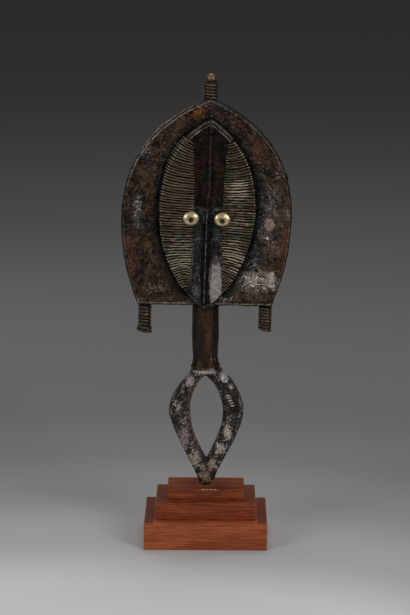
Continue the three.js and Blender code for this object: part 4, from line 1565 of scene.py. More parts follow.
@dataclass
class FaceSheets(Assembly):
    """The forehead sheet and the nose sheet, one above the other down the middle of the face."""

    sheet: float = 0.8
    row: float = 0.85
    ridge_height: float = 6
    ridge_top: float = 29
    ridge_full: float = 2
    ridge_foot: float = -97
    keel_height: float = 0.6
    levels: tuple[float, ...] = (-105, -97, -64, -46, -28, -3, 13, 29, 37, 45, 70, 87, 120)
    crest: tuple[float, ...] = (0.2, 0.2, 0.2, 0.2, 0.2, 0.2, 0.2, 0.4, 2.3, 2.3, 1.8, 1.6, 2.0)
    left_foot: tuple[float, ...] = (-3.8, -4.4, -6.0, -5.9, -4.7, -4.1, -4.0, -4.0, 0.7, 0.8, 0.3, 0.1, 0.5)
    right_foot: tuple[float, ...] = (3.2, 3.6, 5.5, 6.3, 6.6, 7.3, 7.8, 8.2, 3.9, 3.8, 3.3, 3.1, 3.5)
    plate_top: float = -20
    fold: tuple[tuple[float, float, float], ...] = ((0.5, 0.5, 0.6), (1.2, 2.0, 0), (2.2, 4.2, 0))
    lap: float = 1.5

    def heights(self) -> Array:
        """Gives the rows' heights, closer where the sheets leave the wires."""
        even = np.arange(-HEAD.face_tip + 0.4, HEAD.face_top - 0.6, self.row)
        near = np.array([0.02, 0.15, 0.35, 0.6, 0.9, 1.3])
        return np.sort(np.concatenate([even, BAND.top + BAND.gap + near, -BAND.foot - BAND.gap - near]))

    def lines(self, heights: Array) -> tuple[Array, ...]:
        """Gives where the ridge's left foot, its crest and its right foot run, the keel's above them."""
        lines = (self.left_foot, self.crest, self.right_foot)
        return tuple(np.interp(heights, self.levels, line) for line in lines)

    def relief(self, across: Array, heights: Array) -> Array:
        """Gives how far the ridge of the nose and the forehead's keel stand out at places across.

        Args:
            across: Places across.
            heights: Their heights.

        Returns:
            How far out each lies.
        """
        low, line, high = self.lines(heights)
        rising = step(heights, self.ridge_top, self.ridge_full)
        ending = step(heights, -HEAD.face_tip - 1, self.ridge_foot)
        tall = self.keel_height + (self.ridge_height - self.keel_height) * rising * ending
        half = np.where(across < line, line - low, high - line)
        share = np.abs(across - line) / half
        crest = np.maximum(0, 1 - np.sqrt(share * share + 0.012)) ** 1.08
        return tall * crest - 0.5 * bell(np.abs(across - line), half + 0.9, 0.6) * rising

    def borders(self, across: Array, heights: Array, left: Array, right: Array) -> Array:
        """Gives the thin raised borders of the plates beside the ridge, 1 on their crests.

        Args:
            across: Places across.
            heights: Their heights.
            left: Where the band ends on the left at these heights.
            right: Where it ends on the right.

        Returns:
            How high the borders stand.
        """
        low, _, high = self.lines(heights)
        sides = bell(across, left + 0.8, 0.25) + bell(across, right - 0.8, 0.25)
        beside = (across < low - 0.8) | (across > high + 0.6)
        curve = self.plate_top - 5 * step(np.minimum(across - left, right - across), 4.5, 0.5)
        below = step(heights, self.plate_top - 2, self.plate_top - 7)
        return np.minimum(1, sides * below + bell(heights, curve, 0.5) * beside)

    def surface(self, heights: Array) -> Array:
        """Lays out the sheets' outer surface between the wires, folded over the face's edge above and below.

        Args:
            heights: The rows' heights.

        Returns:
            For each row and column its place, how dirty and shaded and how rubbed and highlit it is.
        """
        left, right = -BAND.half(Side.LEFT, heights), BAND.half(Side.RIGHT, heights)
        low, line, high = self.lines(heights)
        middle, half = (left + right) / 2, (right - left) / 2
        line = np.clip(line, middle - 0.5 * half, middle + 0.5 * half)
        low, high = np.maximum(low, middle - 0.85 * half), np.minimum(high, middle + 0.85 * half)
        flat = HEAD.face_front - HEAD.skin
        wired = step(heights, BAND.top + 0.3, BAND.top + 1.6)
        wired += step(heights, -BAND.foot - 0.3, -BAND.foot - 1.6)
        rising = step(heights, self.ridge_top + 1, self.ridge_top - 3)
        shown = step(heights, 8, 12) + 0.5 * step(np.abs(heights + 27), 8, 5)

        # Over the face's edge: a painted highlight on the turn, then dirt and painted shade.
        def over(edge: Array, way: int) -> list[Array]:
            """Gives the columns that go over the face's edge, from the front back."""
            return [
                column(edge + way * out * wired, flat + down * wired, heights, 0.5, rubbed * wired)
                for out, down, rubbed in self.fold
            ]

        spans = ((left, low, 18), (low, line, 10), (line, high, 14), (high, right, 20))
        across = [
            start + (stop - start) * share for start, stop, n in spans for share in np.linspace(0, 1, n)[:-1]
        ]
        columns = over(left, -1)[::-1]
        for each in across + [right]:
            swell = 0.35 * np.maximum(0, 1 - (2 * (each - left) / (right - left + 1e-6) - 1) ** 4)
            border = self.borders(each, heights, left, right)
            out = self.relief(each, heights) + swell + 0.3 * border
            # Painted highlights on the ridge's crest and keel, its feet and the plates' borders; painted
            # shade on its steep flanks and in the grooves beside it.
            peak = bell(each, line, 0.22)
            feet = 0.6 * bell(each, low, 0.3) * step(heights, -40, -46) + 0.8 * bell(each, high, 0.3) * shown
            keel = (1 - rising) * 0.5 * bell(each, line, 0.5)
            rubbed = np.minimum(1, rising * (0.8 * peak + feet) + keel + 0.6 * border)
            inside = step(each, low - 0.3, low + 0.6) * step(each, high + 0.3, high - 0.6)
            beside = bell(each, low - 1.3, 0.64) + bell(each, high + 1.3, 0.64)
            dirt = rising * inside * (1 - peak) * 0.85 + 0.8 * beside + (1 - rising) * 0.6 * beside
            columns.append(column(each, flat - out, heights, np.minimum(0.95, dirt), rubbed))
        return np.stack(columns + over(right, 1), axis=1)

    def part(self, name: str, heights: Array, lifted: bool) -> Piece:
        """Makes one of the two sheets.

        Args:
            name: The piece's name.
            heights: Its rows' heights.
            lifted: Whether it is lifted at its foot, where it laps over the other.

        Returns:
            The sheet.
        """
        table = self.surface(heights)
        if lifted:
            table[..., 1] -= 0.9 * step(heights, BAND.lap + 1.5, BAND.lap)[:, None]
            # The lapping edge is rubbed and highlit.
            table[:2, :, 4] = 0.4
        sheet = laid_grid(name, table, "dirt", "rubbed")
        places = places_of(sheet)
        keep(sheet, crumpled=np.full(len(places), 0.15))
        push(sheet, lumps(places, 8, 31, 2) * 0.2 + lumps(places, 2.6, 33, 2) * 0.08)
        merge(sheet, 0.03)
        thicken(sheet, self.sheet)
        return sheet

    def build(self) -> list[Piece]:
        """Makes both sheets."""
        heights = self.heights()
        upper = np.concatenate([[BAND.lap - self.lap, BAND.lap - 0.7], heights[heights > BAND.lap]])
        lower = np.concatenate([heights[heights < BAND.lap], [BAND.lap]])
        return [self.part("copper_forehead_sheet", upper, True), self.part("copper_nose_sheet", lower, False)]

    def dress(self, sheets: list[Piece]) -> None:
        """Gives the forehead its dark brown and the nose its grey stains, with painted reflection and
        highlight.

        Args:
            sheets: The forehead sheet and the nose sheet.
        """
        warm = stains_of(
            (-9, 455, 9, 44, (56, 29, 20), 0.5, FINE, 0.5),
            (12, 458, 8, 44, (58, 44, 30), 0.5, FINE, 0.5),
            (-7, 501, 9, 12, (54, 42, 34), 0.45),
            (8, 428, 10, 10, (52, 54, 56), 0.36),
        )
        brown = WornSheet(
            "forehead_patina", (15, 10, 8), (42, 27, 20), (58, 44, 36), (104, 84, 74), warm, cover=0.3,
            metal=0.45, rough=(0.36, 0.6), mottle=0.7, relief=0.8, gloss=0.2, rubbed_glint_flecks=0.15, drawn=2,
        )
        pale = stains_of(
            (-5.9, 413.4, 4, 4.5, (42, 66, 54), 0.8, SOLID),
            (12, 415.7, 6, 4.5, (84, 96, 104), 0.75),
            # Painted highlight, whitish blue, at the ridge's left foot.
            (-3.4, 402, 1.6, 9, (150, 160, 172), 0.7),
            # Painted reflection down the band's right flank: pale, darker at its top.
            (10.2, 327, 7.4, 29, (150, 144, 140), 1.0, SOLID, 0.3),
            (10.2, 352, 7.4, 10, (70, 64, 62), 0.7),
            (10.2, 325, 7, 27, (182, 174, 168), 0.5, COARSE, 0.3),
            (10, 342, 7, 9, (98, 94, 92), 0.45),
            (13, 382, 8, 22, (48, 54, 50), 0.6),
            (-12, 382, 8, 22, (34, 44, 40), 0.7),
            (-11, 340, 6, 26, (62, 62, 64), 0.55),
            (-12, 316, 9, 14, (84, 80, 80), 0.7),
        )
        grey = WornSheet(
            "nose_patina", (22, 20, 20), (42, 34, 31), (72, 70, 72), (146, 138, 134), pale,
            cover=0.4, metal=0.5, rough=(0.28, 0.52), mottle=0.6,
        )
        for sheet, finish, node in zip(sheets, (brown, grey), ("forehead_sheet", "nose_sheet")):
            attach(sheet, finish.material(), node)


@dataclass
class Edging(Assembly):
    """The folded edging on the upper edges of the face, a thin rib and a broad fold, with a knot at the apex.

    Its profile says how far in and out each line of it lies, how rubbed and highlit, how dirty and shaded it
    is.
    """

    end: float = 99
    count: int = 110
    thick: float = 0.6
    knot_size: Place = (2.7, 1.5, 2.3)
    # Painted highlights on the rib's and the fold's crests; painted shade in the groove between them and down
    # the face's edge.
    profile: tuple[tuple[float, float, float, float], ...] = (
        (2.8, -0.4, 0, 0.9), (2.5, 0.5, 0.2, 0.2), (2.1, 1.1, 1, 0), (1.6, 1.15, 1, 0), (1.2, 0.7, 0.1, 0.3),
        (0.9, 0.1, 0, 0.95), (0.4, -0.05, 0, 0.95), (0, 0.3, 0, 0.7), (-0.4, 0.45, 0.15, 0.2),
        (-0.8, 0.2, 0.1, 0.2), (-1.3, -0.5, 0.2, 0.1), (-1.7, -1.2, 0.2, 0.1), (-2.0, -1.7, 0.5, 0),
        (-2.6, -2.6, 0.6, 0), (-3.1, -3.7, 0, 0.5), (-4.2, -5.6, 0, 0.8), (-5.2, -7.3, 0, 0.9),
    )

    def half(self, side: Side) -> Piece:
        """Makes the edging of one side, from the apex down.

        Args:
            side: The side of the head.

        Returns:
            The half.
        """
        upper = HEAD.face_upper(side)
        line = resampled(upper[upper[:, 1] > self.end], np.linspace(0, 1, self.count))
        way = mitres(line, side, apex=True)
        depth = HEAD.face_front - HEAD.skin - BAND.gap
        wave = 0.25 * lumps(upright(line), 6, 12, 2)
        columns = []
        for inset, out, rubbed, dirt in self.profile:
            moved = line - way * (inset + wave)[:, None]
            columns.append(column(moved[:, 0], depth - out, moved[:, 1], rubbed, dirt))
        strip = laid_grid(f"edging_{side.word}", np.stack(columns, axis=1), "rubbed", "dirt")
        push(strip, lumps(places_of(strip), 2.4, 16, 2) * 0.16)
        modify(strip, "SOLIDIFY", thickness=self.thick * MM, offset=-1)
        return strip

    def knot(self) -> Piece:
        """Makes the small lump where both halves meet."""
        bpy.ops.mesh.primitive_ico_sphere_add(subdivisions=4, radius=1)
        lump = named("edging_knot")
        centre = HEAD.placed(np.array([HEAD.face_drift + 0.5, HEAD.face_front - 2.6, HEAD.face_top - 0.6]))
        set_places(lump, vectors_of(lump, "co") * np.array(self.knot_size) + centre)
        push(lump, lumps(places_of(lump), 1.6, 14, 2) * 0.45)
        places = places_of(lump)
        keep(lump, rubbed=step(lumps(places, 2, 19, 1), -0.2, 0.4) * 0.7, dirt=np.zeros(len(places)))
        return lump

    def build(self) -> Piece:
        """Makes the edging as one piece."""
        edging = joined("folded_face_edging", [self.half(Side.LEFT), self.half(Side.RIGHT), self.knot()])
        smooth(edging, 45)
        return edging

    def dress(self, edging: Piece) -> None:
        """Gives the edging its rubbed metal.

        Args:
            edging: The edging.
        """
        finish = WornSheet(
            "edging_metal", (30, 27, 26), (54, 47, 43), (70, 64, 62), (176, 160, 152),
            stains_of((-12, 508, 9, 7, (128, 112, 106), 0.6, COARSE)),
            cover=0.4, metal=0.6, rough=(0.3, 0.5), mottle=0.7,
        )
        attach(edging, finish.material(), "face_edging")


@dataclass
class CheekWires(Assembly):
    """The wires of one cheek, laid side by side from the band out to the face's edge."""

    side: Side
    rows: int = 57
    fill: float = 0.82
    thick: float = 2.1
    power: float = 1.2
    along: int = 20
    over: int = 5
    narrow: float = 1.6
    broad: float = 4.6
    longest: float = 60
    seed: int = 5

    def path(self, row: int, jitter: Array) -> Array:
        """Gives the middle line of one wire, in the head's frame.

        Args:
            row: Its number from the top.
            jitter: Five small random numbers for its shape.

        Returns:
            The line's points, over the front and down over the face's edge.
        """
        inner = BAND.top - (BAND.top + BAND.foot) * (row + 0.5) / self.rows + 0.35 * jitter[0]
        set_out, end, hang = RUNS[self.side].at(inner)
        gain = set_out + (end - set_out) / (self.power + 1)
        start = float(BAND.edge(self.side, inner)) + BAND.gap + 0.3 * jitter[1]
        lengths = np.linspace(1, self.longest, 600)
        past = start + lengths - HEAD.face_edge(self.side, inner + lengths * gain)
        length = lengths[int(np.argmax(past > 0))]
        t = np.linspace(0, 1, self.along)
        bent = t ** (self.power + 1) / (self.power + 1)
        wave = 0.5 * jitter[3] * np.sin(2 * math.pi * (t + jitter[4])) + 0.16 * np.sin(17 * t + 9 * jitter[2])
        height = inner + length * (set_out * t + (end - set_out) * bent) + wave
        out = max(0.5, hang + 0.5 * jitter[2] * min(1, hang)) * np.linspace(0, 1, self.over + 1)[1:]
        across = np.concatenate([start + length * t, start + length + out])
        height = np.concatenate([height, height[-1] + end * out])
        fall = HEAD.face_rise / HEAD.face_wall * (np.sqrt(out * out + 0.09) - 0.3)
        depth = HEAD.face_front - BAND.gap - self.thick / 2 + np.concatenate([t * 0, fall])
        return np.column_stack([self.side.value * across, depth, height])

    def tube(self) -> Piece:
        """Models one wire, a straight tube along X with a ring of points at each station."""
        bpy.ops.mesh.primitive_cylinder_add(vertices=12, radius=0.5, depth=1, rotation=(0, math.pi / 2, 0))
        tube = named("straight_wire")
        with editing(tube, "DESELECT"):
            bpy.ops.mesh.select_mode(type="EDGE")
        for line in tube.data.edges:
            start, stop = (tube.data.vertices[k].co.x for k in line.vertices)
            line.select = abs(start - stop) > 0.5
        with editing(tube, None):
            bpy.ops.mesh.subdivide_edgering(number_cuts=self.along + self.over - 2, smoothness=0)
        return tube

    def laid(self, tube: Piece, row: int, path: Array, wide: Array, jitter: Array) -> Piece:
        """Lays a copy of the straight wire along its path.

        Args:
            tube: The straight wire.
            row: Its number from the top.
            path: Its middle line.
            wide: How wide it may be at each station.
            jitter: Five small random numbers for its shape.

        Returns:
            The wire.
        """
        wire = copied(f"wire_{row}", tube)
        places = vectors_of(wire, "co")
        t = np.clip(places[:, 0] + 0.5, 0, 1)

        def at(values: Array) -> Array:
            """Gives values of the stations at every vertex."""
            return np.interp(t, np.linspace(0, 1, len(path)), values)

        way = np.gradient(path, axis=0)
        way /= np.linalg.norm(way, axis=1)[:, None]
        middle, way = (np.stack([at(table[:, k]) for k in range(3)], axis=1) for table in (path, way))
        upward = np.column_stack([-way[:, 2], way[:, 0] * 0, way[:, 0]]) * np.sign(way[:, :1])
        upward /= np.linalg.norm(upward, axis=1)[:, None]
        outward = np.cross(upward, way) * self.side.value
        run = run_of(path)
        near_end = at(np.minimum(run, run[-1] - run))
        girth = 0.7 + 0.3 * np.sqrt(np.clip(near_end / 1.1, 0, 1))
        girth *= 1 + 0.05 * np.sin(9 * t + 6 * jitter[4])
        width = at(wide) * self.fill * (1 + 0.05 * jitter[1]) * girth
        forward = -places[:, 1] * 2
        middle += upward * (places[:, 2] * width)[:, None]
        middle += outward * (np.sign(-outward[:, 1].mean()) * forward * self.thick / 2 * girth)[:, None]
        set_places(wire, HEAD.placed(middle))
        hanging = at(np.concatenate([np.zeros(self.along), np.linspace(0.2, 1, self.over)]))
        hung = run[-1] - run[self.along - 1]
        keep(
            wire,
            crest=np.clip(forward, 0, 1),
            shade=np.full(len(t), 0.5 + 0.5 * jitter[3]),
            grey=step(hanging, 0.3, 0.6) * step(hung, 1.2, 2.4),
            glint=bell(hanging, 0.3, 0.0169) * (hung > 1.2),
        )
        return wire

    def build(self) -> Piece:
        """Makes all the wires of the cheek as one piece."""
        draws = np.random.default_rng(self.seed + self.side.value)
        jitters = [draws.uniform(-1, 1, 5) for _ in range(self.rows)]
        paths = np.stack([self.path(row, jitter) for row, jitter in enumerate(jitters)])
        apart = -np.gradient(paths, axis=0)
        way = np.gradient(paths, axis=1)
        way /= np.linalg.norm(way[..., [0, 2]], axis=2)[..., None]
        wide = np.abs(apart[..., 0] * way[..., 2] - apart[..., 2] * way[..., 0])
        wide = np.clip(wide, self.narrow, self.broad)
        tube = self.tube()
        wires = [self.laid(tube, row, paths[row], wide[row], jitters[row]) for row in range(self.rows)]
        bpy.data.objects.remove(tube)
        cheek = joined(f"brass_{self.side.word}_cheek_wires", wires)
        turn_outwards(cheek)
        smooth(cheek, 50)
        return cheek

    def dress(self, cheek: Piece) -> None:
        """Gives the wires their rubbed brass, one material for both cheeks.

        Args:
            cheek: The wires.
        """
        stains = stains_of(
            (-32, 452, 28, 48, (150, 130, 104), 0.9, COARSE),
            (-30, 470, 20, 26, (136, 108, 78), 0.5, COARSE),
            (-38, 492, 16, 12, (138, 130, 120), 0.6, COARSE),
            (-18, 438, 8, 12, (112, 100, 100), 0.7, COARSE),
            (-44, 447, 12, 8, (132, 122, 76), 0.6, COARSE),
            (-34, 402, 22, 16, (170, 152, 124), 0.6, COARSE),
            (-30, 356, 24, 34, (208, 198, 170), 0.8, COARSE),
            (34, 482, 14, 20, (150, 126, 98), 0.66, COARSE),
            # On the right cheek the palest stains are rubbed brass with painted highlights along the crests.
            (36, 400, 20, 14, (222, 206, 176), 0.6, COARSE),
            (34, 358, 20, 28, (226, 210, 180), 0.7, COARSE),
            (34, 386, 14, 6, (124, 134, 134), 0.7, COARSE),
            (44, 368, 10, 12, (112, 78, 66), 0.6, COARSE),
            (38, 436, 18, 24, (240, 224, 190), 0.75, COARSE),
            (38, 446, 16, 5, (250, 240, 214), 0.7, COARSE),
        )
        finish = RubbedWire("rubbed_cheek_wire", (214, 196, 164), (104, 86, 66), (31, 24, 17), 0.6, stains)
        attach(cheek, finish.shared(), f"{self.side.word}_cheek_wires")


@dataclass
class Eye(Assembly):
    """One domed eye disc and the nail that holds it, their places from the frame."""

    side: Side
    dimple: float = 4.6
    dimple_depth: float = 0.8
    nail_edge: float = 0.6

    def disc(self) -> Piece:
        """Makes the disc: the front of a ball, flattened, with a dimple round the nail."""
        centre, size = box_of(f"{self.side.word}_eye_disc")
        nail, _ = box_of(f"{self.side.word}_eye_nail")
        upset = (math.pi / 2, 0, 0)
        bpy.ops.mesh.primitive_uv_sphere_add(segments=72, ring_count=48, radius=1, rotation=upset)
        disc = named(f"brass_{self.side.word}_eye_disc")
        bisect(disc, (0, 0, 0), (0, 1, 0), fill=True)
        places = vectors_of(disc, "co")
        front = np.clip(-places[:, 1], 0, 1)
        reach = np.maximum(np.hypot(places[:, 0], places[:, 2]), 1e-6)
        shaped = centre + places * (reach**-0.14)[:, None] * size
        shaped[:, 1] = centre[1] + size[1] - front * 2 * size[1] * 0.96
        down = np.where(shaped[:, 2] < nail[2], 0.8, 1.1)
        near = np.hypot(shaped[:, 0] - nail[0], (shaped[:, 2] - nail[2]) * down)
        facing = step(front, 0.05, 0.3)
        shaped[:, 1] += self.dimple_depth * step(near, self.dimple, 0.8) * facing
        shaped[:, 1] += 0.16 * lumps(shaped, 4, 3 + self.side.value, 2) * facing
        set_places(disc, shaped)
        # Brown dirt in the dimple round the nail, and painted shade where the dome's side turns away.
        ragged = near + 0.9 * lumps(shaped, 2.2, 12, 2)
        keep(disc, dirt=0.85 * step(ragged, self.dimple, 2.2) + 0.9 * step(front, 0.16, 0.0))
        smooth(disc, 60)
        return disc

    def nail(self) -> Piece:
        """Makes the nail, a worn round head with a soft edge."""
        centre, size = box_of(f"{self.side.word}_eye_nail")
        bpy.ops.mesh.primitive_cylinder_add(
            vertices=20, radius=float(size[0]) * MM, depth=float(size[1]) * 2 * MM,
            location=tuple(centre * MM), rotation=(math.pi / 2, 0, 0),
        )
        nail = named(f"iron_{self.side.word}_eye_nail")
        modify(nail, "BEVEL", width=self.nail_edge * MM, segments=4, limit_method="ANGLE")
        push(nail, -0.12 * np.abs(lumps(places_of(nail), 1.3, 6, 2)))
        smooth(nail, 50)
        return nail

    def build(self) -> list[Piece]:
        """Makes both pieces."""
        return [self.disc(), self.nail()]

    def dress(self, pieces: list[Piece]) -> None:
        """Gives both their metals, the same for both eyes.

        Args:
            pieces: The disc and the nail.
        """
        brass = RubbedBrass("bright_brass", (226, 206, 164), (132, 96, 58), (0.34, 0.5))
        attach(pieces[0], brass.shared(), f"{self.side.word}_eye_disc")
        attach(pieces[1], RustedIron("rusted_iron").shared(), f"{self.side.word}_eye_nail")


# The neck


@dataclass
class NeckSleeve(Assembly):
    """The sleeve of sheet copper round the neck."""

    foot: float = 217.5
    shift: float = -1.3
    heights: tuple[float, ...] = (0, 0.047, 0.14, 0.42, 1)
    radii: tuple[float, ...] = (17.6, 16.25, 14.9, 16.4, 16)
    tilt: float = 3.3
    sheet: float = 0.8
    rings: int = 90
    sides: int = 128
    clear: float = 0.3
    nowhere: float = 1e3

    def radius(self, share: Array) -> Array:
        """The sleeve's outer radius at a share of its height, its profile smoothed.

        Args:
            share: Shares of the height.

        Returns:
            The radii.
        """
        fine = np.linspace(0, 1, 400)
        window = np.hanning(31)
        padded = np.pad(np.interp(fine, self.heights, self.radii), 15, mode="edge")
        return np.interp(share, fine, np.convolve(padded, window / window.sum(), mode="valid"))

    def top(self, across: Array, depth: Array) -> Array:
        """The height at which the sleeve meets the board's hem or the tip of the face.

        Args:
            across: Places across.
            depth: Their depths.

        Returns:
            The heights.
        """
        turn = math.radians(HEAD.lean)
        local = (across - HEAD.shift) / math.cos(turn)
        hem = HEAD.lower_edge(local) - HEAD.skin - self.clear
        grow = np.interp(depth, [HEAD.face_front, HEAD.front], [0, HEAD.face_wall]) + HEAD.skin + self.clear
        tip = np.full(len(local), self.nowhere)
        for side in Side:
            line = HEAD.face_lower(side)
            line = line[line[:, 1] < -70][::-1]
            out = np.maximum(0, local * side.value - grow * 0.72)
            height = np.interp(out, np.abs(line[:, 0]), line[:, 1]) - grow * 0.72
            tip = np.where(local * side.value >= 0, height, tip)
        level = np.minimum(hem, np.where(depth < HEAD.middle, tip, self.nowhere))
        return HEAD.level + level * math.cos(turn) - local * math.sin(turn)

    def build(self) -> Piece:
        """Makes the sleeve by drawing a ring upwards, then shapes, hammers and thickens it."""
        bpy.ops.mesh.primitive_circle_add(vertices=self.sides, radius=1)
        sleeve = named("copper_neck_sleeve")
        with editing(sleeve):
            for _ in range(self.rings):
                bpy.ops.mesh.extrude_region_move(TRANSFORM_OT_translate={"value": (0, 0, 1 / self.rings)})
        places = vectors_of(sleeve, "co")
        share = np.clip(places[:, 2], 0, 1)
        radius = self.radius(share)
        across, depth = self.shift + places[:, 0] * radius, places[:, 1] * radius
        low = self.foot + 0.3 + (across - self.shift + self.radii[0]) * math.tan(math.radians(self.tilt))
        low += 0.35 * lumps(np.column_stack([across, depth, share * 0]), 9, 3, 2)
        high = self.top(across, depth)
        set_places(sleeve, np.column_stack([across, depth, low + (high - low) * share]))
        if (vectors_of(sleeve, "normal")[:, :2] * places[:, :2]).sum() < 0:
            flip(sleeve)
        spots = places_of(sleeve)
        blows = lumps(spots * np.array([1, 1, 0.5]), 7, 15, 1) * 0.3 + lumps(spots, 2.8, 17, 2) * 0.12
        seam = step(np.abs(spots[:, 0] - self.shift + 3), 1.6, 0.6) * (spots[:, 1] > 0) * 0.5
        push(sleeve, blows + seam + 0.5 * step(share, 0.035, 0.0))
        # Painted shade under the board's hem and in the groove above the flare; the flared foot rubbed and
        # highlit.
        dirt = 0.8 * step(share, 0.93, 1.0) + 0.5 * step(np.abs(share - 0.045), 0.02, 0.0)
        keep(sleeve, rubbed=0.6 * step(share, 0.03, 0.0), dirt=dirt)
        thicken(sleeve, self.sheet)
        return sleeve

    def dress(self, sleeve: Piece) -> None:
        """Gives the sleeve its brown patina, with a painted glint low on the right, a painted sheen and
        painted shade.

        Args:
            sleeve: The sleeve.
        """
        stains = stains_of(
            # Painted glint.
            (7, 229, 6, 4.5, (186, 176, 162), 0.48, FINE, 0.5),
            # Painted sheen down the middle.
            (1, 262, 11, 46, (78, 57, 37), 0.62, COARSE, 0.6),
            # Painted shade down the left and right sides.
            (-11, 265, 4, 44, (34, 28, 24), 0.7, COARSE),
            (12, 255, 3, 36, (34, 27, 22), 0.7, COARSE),
        )
        finish = WornSheet(
            "neck_patina", (34, 25, 17), (54, 39, 25), (64, 50, 36), (84, 56, 40), stains, cover=0.35,
            metal=0.5, rough=(0.34, 0.5), mottle=0.45, rubbed_glint_flecks=0.2, drawn=4, relief=0.5,
        )
        attach(sleeve, finish.material(), "neck_sheet")


# The windings and the cap


@dataclass
class Winding(Assembly):
    """Wire wound round a stub of the head."""

    node: str
    across: float
    radius: float
    low: float
    high: float
    turns: int
    wire: float
    seed: int
    loose_turns: int = 0
    loose_by: float = 0
    droop: float = 0
    steps: int = 40

    def build(self) -> Piece:
        """Makes the winding by turning a wire's section into a screw, then loosens it a little."""
        pitch = (self.high - self.low) / self.turns
        thick = min(self.wire, pitch * 1.02)
        bpy.ops.mesh.primitive_circle_add(
            vertices=12, radius=thick / 2 * MM, fill_type="NGON",
            location=((self.radius - thick / 2) * MM, 0, 0), rotation=(math.pi / 2, 0, 0),
        )
        coil = named("wound_" + self.node)
        turns = self.turns - thick / pitch
        modify(
            coil, "SCREW", axis="Z", angle=-2 * math.pi * turns, screw_offset=pitch * turns * MM,
            steps=int(self.steps * turns), render_steps=int(self.steps * turns), use_smooth_shade=True,
        )
        self.close(coil)
        self.loosen(coil, thick, pitch)
        smooth(coil, 60)
        return coil

    def close(self, coil: Piece) -> None:
        """Closes the two ends of the wire and turns its faces outwards.

        Args:
            coil: The coil.
        """
        merge(coil, 0.005)
        turn_outwards(coil)
        with editing(coil, "DESELECT"):
            bpy.ops.mesh.select_mode(type="EDGE")
            bpy.ops.mesh.select_non_manifold(
                extend=False, use_wire=False, use_multi_face=False, use_non_contiguous=False
            )
            bpy.ops.mesh.fill()
        turn_outwards(coil)

    def loosen(self, coil: Piece, thick: float, pitch: float) -> None:
        """Widens the loose turns, waves the wire a little and sets the coil in its place.

        Args:
            coil: The coil.
            thick: How thick its wire is.
            pitch: How far apart its turns are.
        """
        places = places_of(coil)
        angle = np.arctan2(places[:, 1], places[:, 0])
        reach = np.hypot(places[:, 0], places[:, 1])
        level = places[:, 2] + thick / 2
        loose = self.loose_turns * pitch
        wave = 0.16 * lumps(np.column_stack([np.cos(angle) * 6, np.sin(angle) * 6, level]), 5, self.seed, 2)
        wide = self.loose_by * step(level, loose + 0.6, loose - 0.6)
        flat = (reach - self.radius) * 0.9 + self.radius
        reach = np.where(self.loose_turns and level < loose, reach, flat) + wide + wave
        sway = wide * 0.9 * np.sin(angle - math.pi / 2)
        sway += self.droop * np.cos(angle) * step(level, 3 * pitch, 0)
        placed = np.column_stack([reach * np.cos(angle), reach * np.sin(angle), level + self.low + sway])
        set_places(coil, HEAD.placed(placed + np.array([self.across, HEAD.middle, 0])))
        # Shade is random, and darkest on the loose lowest turns as painted shade; crest lets the material
        # paint shade down the wire's sides.
        shade = 0.5 + 0.5 * lumps(places, 9, self.seed + 4, 2)
        if self.loose_by > 0:
            shade = np.maximum(shade, 0.9 * step(level, loose + 1, 0))
        crest = (reach - wide - self.radius + thick * 0.75) / (thick * 0.6)
        keep(coil, crest=np.clip(crest, 0, 1), shade=np.maximum(0, shade))

    def dress(self, coil: Piece) -> None:
        """Gives the winding its dull brass, one material for all windings."""
        finish = RubbedWire("dull_coil_wire", (142, 116, 94), (76, 60, 49), (15, 13, 12), 0.65)
        attach(coil, finish.shared(), self.node)


@dataclass
class FinialCap(Assembly):
    """The small dull-gold cap on the finial, in the frame's place."""

    node: str = "finial_cap"
    foot: float = -0.35

    def build(self) -> Piece:
        """Makes the cap: a squashed ball with a flat foot and a few dents."""
        centre, size = box_of(self.node)
        bpy.ops.mesh.primitive_uv_sphere_add(segments=48, ring_count=32, radius=1)
        cap = named("brass_finial_cap")
        bisect(cap, (0, 0, self.foot), DOWNWARDS, fill=True)
        places = vectors_of(cap, "co")
        places[:, 2] = (places[:, 2] - self.foot) / (1 - self.foot) * 2 - 1
        shaped = centre + places * size * np.array([0.97, 0.97, 0.99])
        dents = 0.28 * lumps(shaped, 4, 2, 2) * step(places[:, 2], -1, -0.4)
        shaped += dents[:, None] * places * [1, 1, 0.3]
        set_places(cap, shaped)
        # Darker towards its foot, and in a few random spots.
        keep(cap, dirt=0.6 * step(places[:, 2], -0.6, -1.0) + 0.35 * (lumps(shaped, 3, 8, 2) > 0.25))
        smooth(cap, 50)
        return cap

    def dress(self, cap: Piece) -> None:
        """Gives the cap a duller brass."""
        finish = RubbedBrass("dull_brass", (130, 108, 82), (80, 60, 42), (0.4, 0.6))
        attach(cap, finish.material(), self.node)


@dataclass
class Fittings:
    """The windings of the finial and of the two lower stubs, and the finial's cap."""

    radius: float = 8.2
    places: Pair = Pair(-71.1, 75)
    lengths: Pair = Pair(36.8, 32.6)
    loose_turns: Pair = Pair(2, 0)
    loose_by: Pair = Pair(1.2, 0)
    droops: Pair = Pair(0.6, -0.8)
    turns: int = 9
    wire: float = 3.7

    def stub(self, side: Side) -> Winding:
        """Gives the winding of one lower stub.

        Args:
            side: The side of the head.

        Returns:
            The winding.
        """
        across, loose = self.places[side], self.loose_turns[side]
        hem = float(HEAD.lower_edge(np.float64(across))) - HEAD.skin
        return Winding(
            f"{side.word}_stub_winding", across, self.radius, hem - self.lengths[side], hem + 0.2, self.turns,
            self.wire, 7 + loose, loose, self.loose_by[side], self.droops[side],
        )

    def make(self) -> None:
        """Makes and dresses the windings and the cap."""
        finial = Winding(
            "finial_winding", across=0, radius=9.2, low=142, high=167.5, turns=7, wire=3.4, seed=3
        )
        for part in (finial, self.stub(Side.LEFT), self.stub(Side.RIGHT), FinialCap()):
            part.make()


# The studio


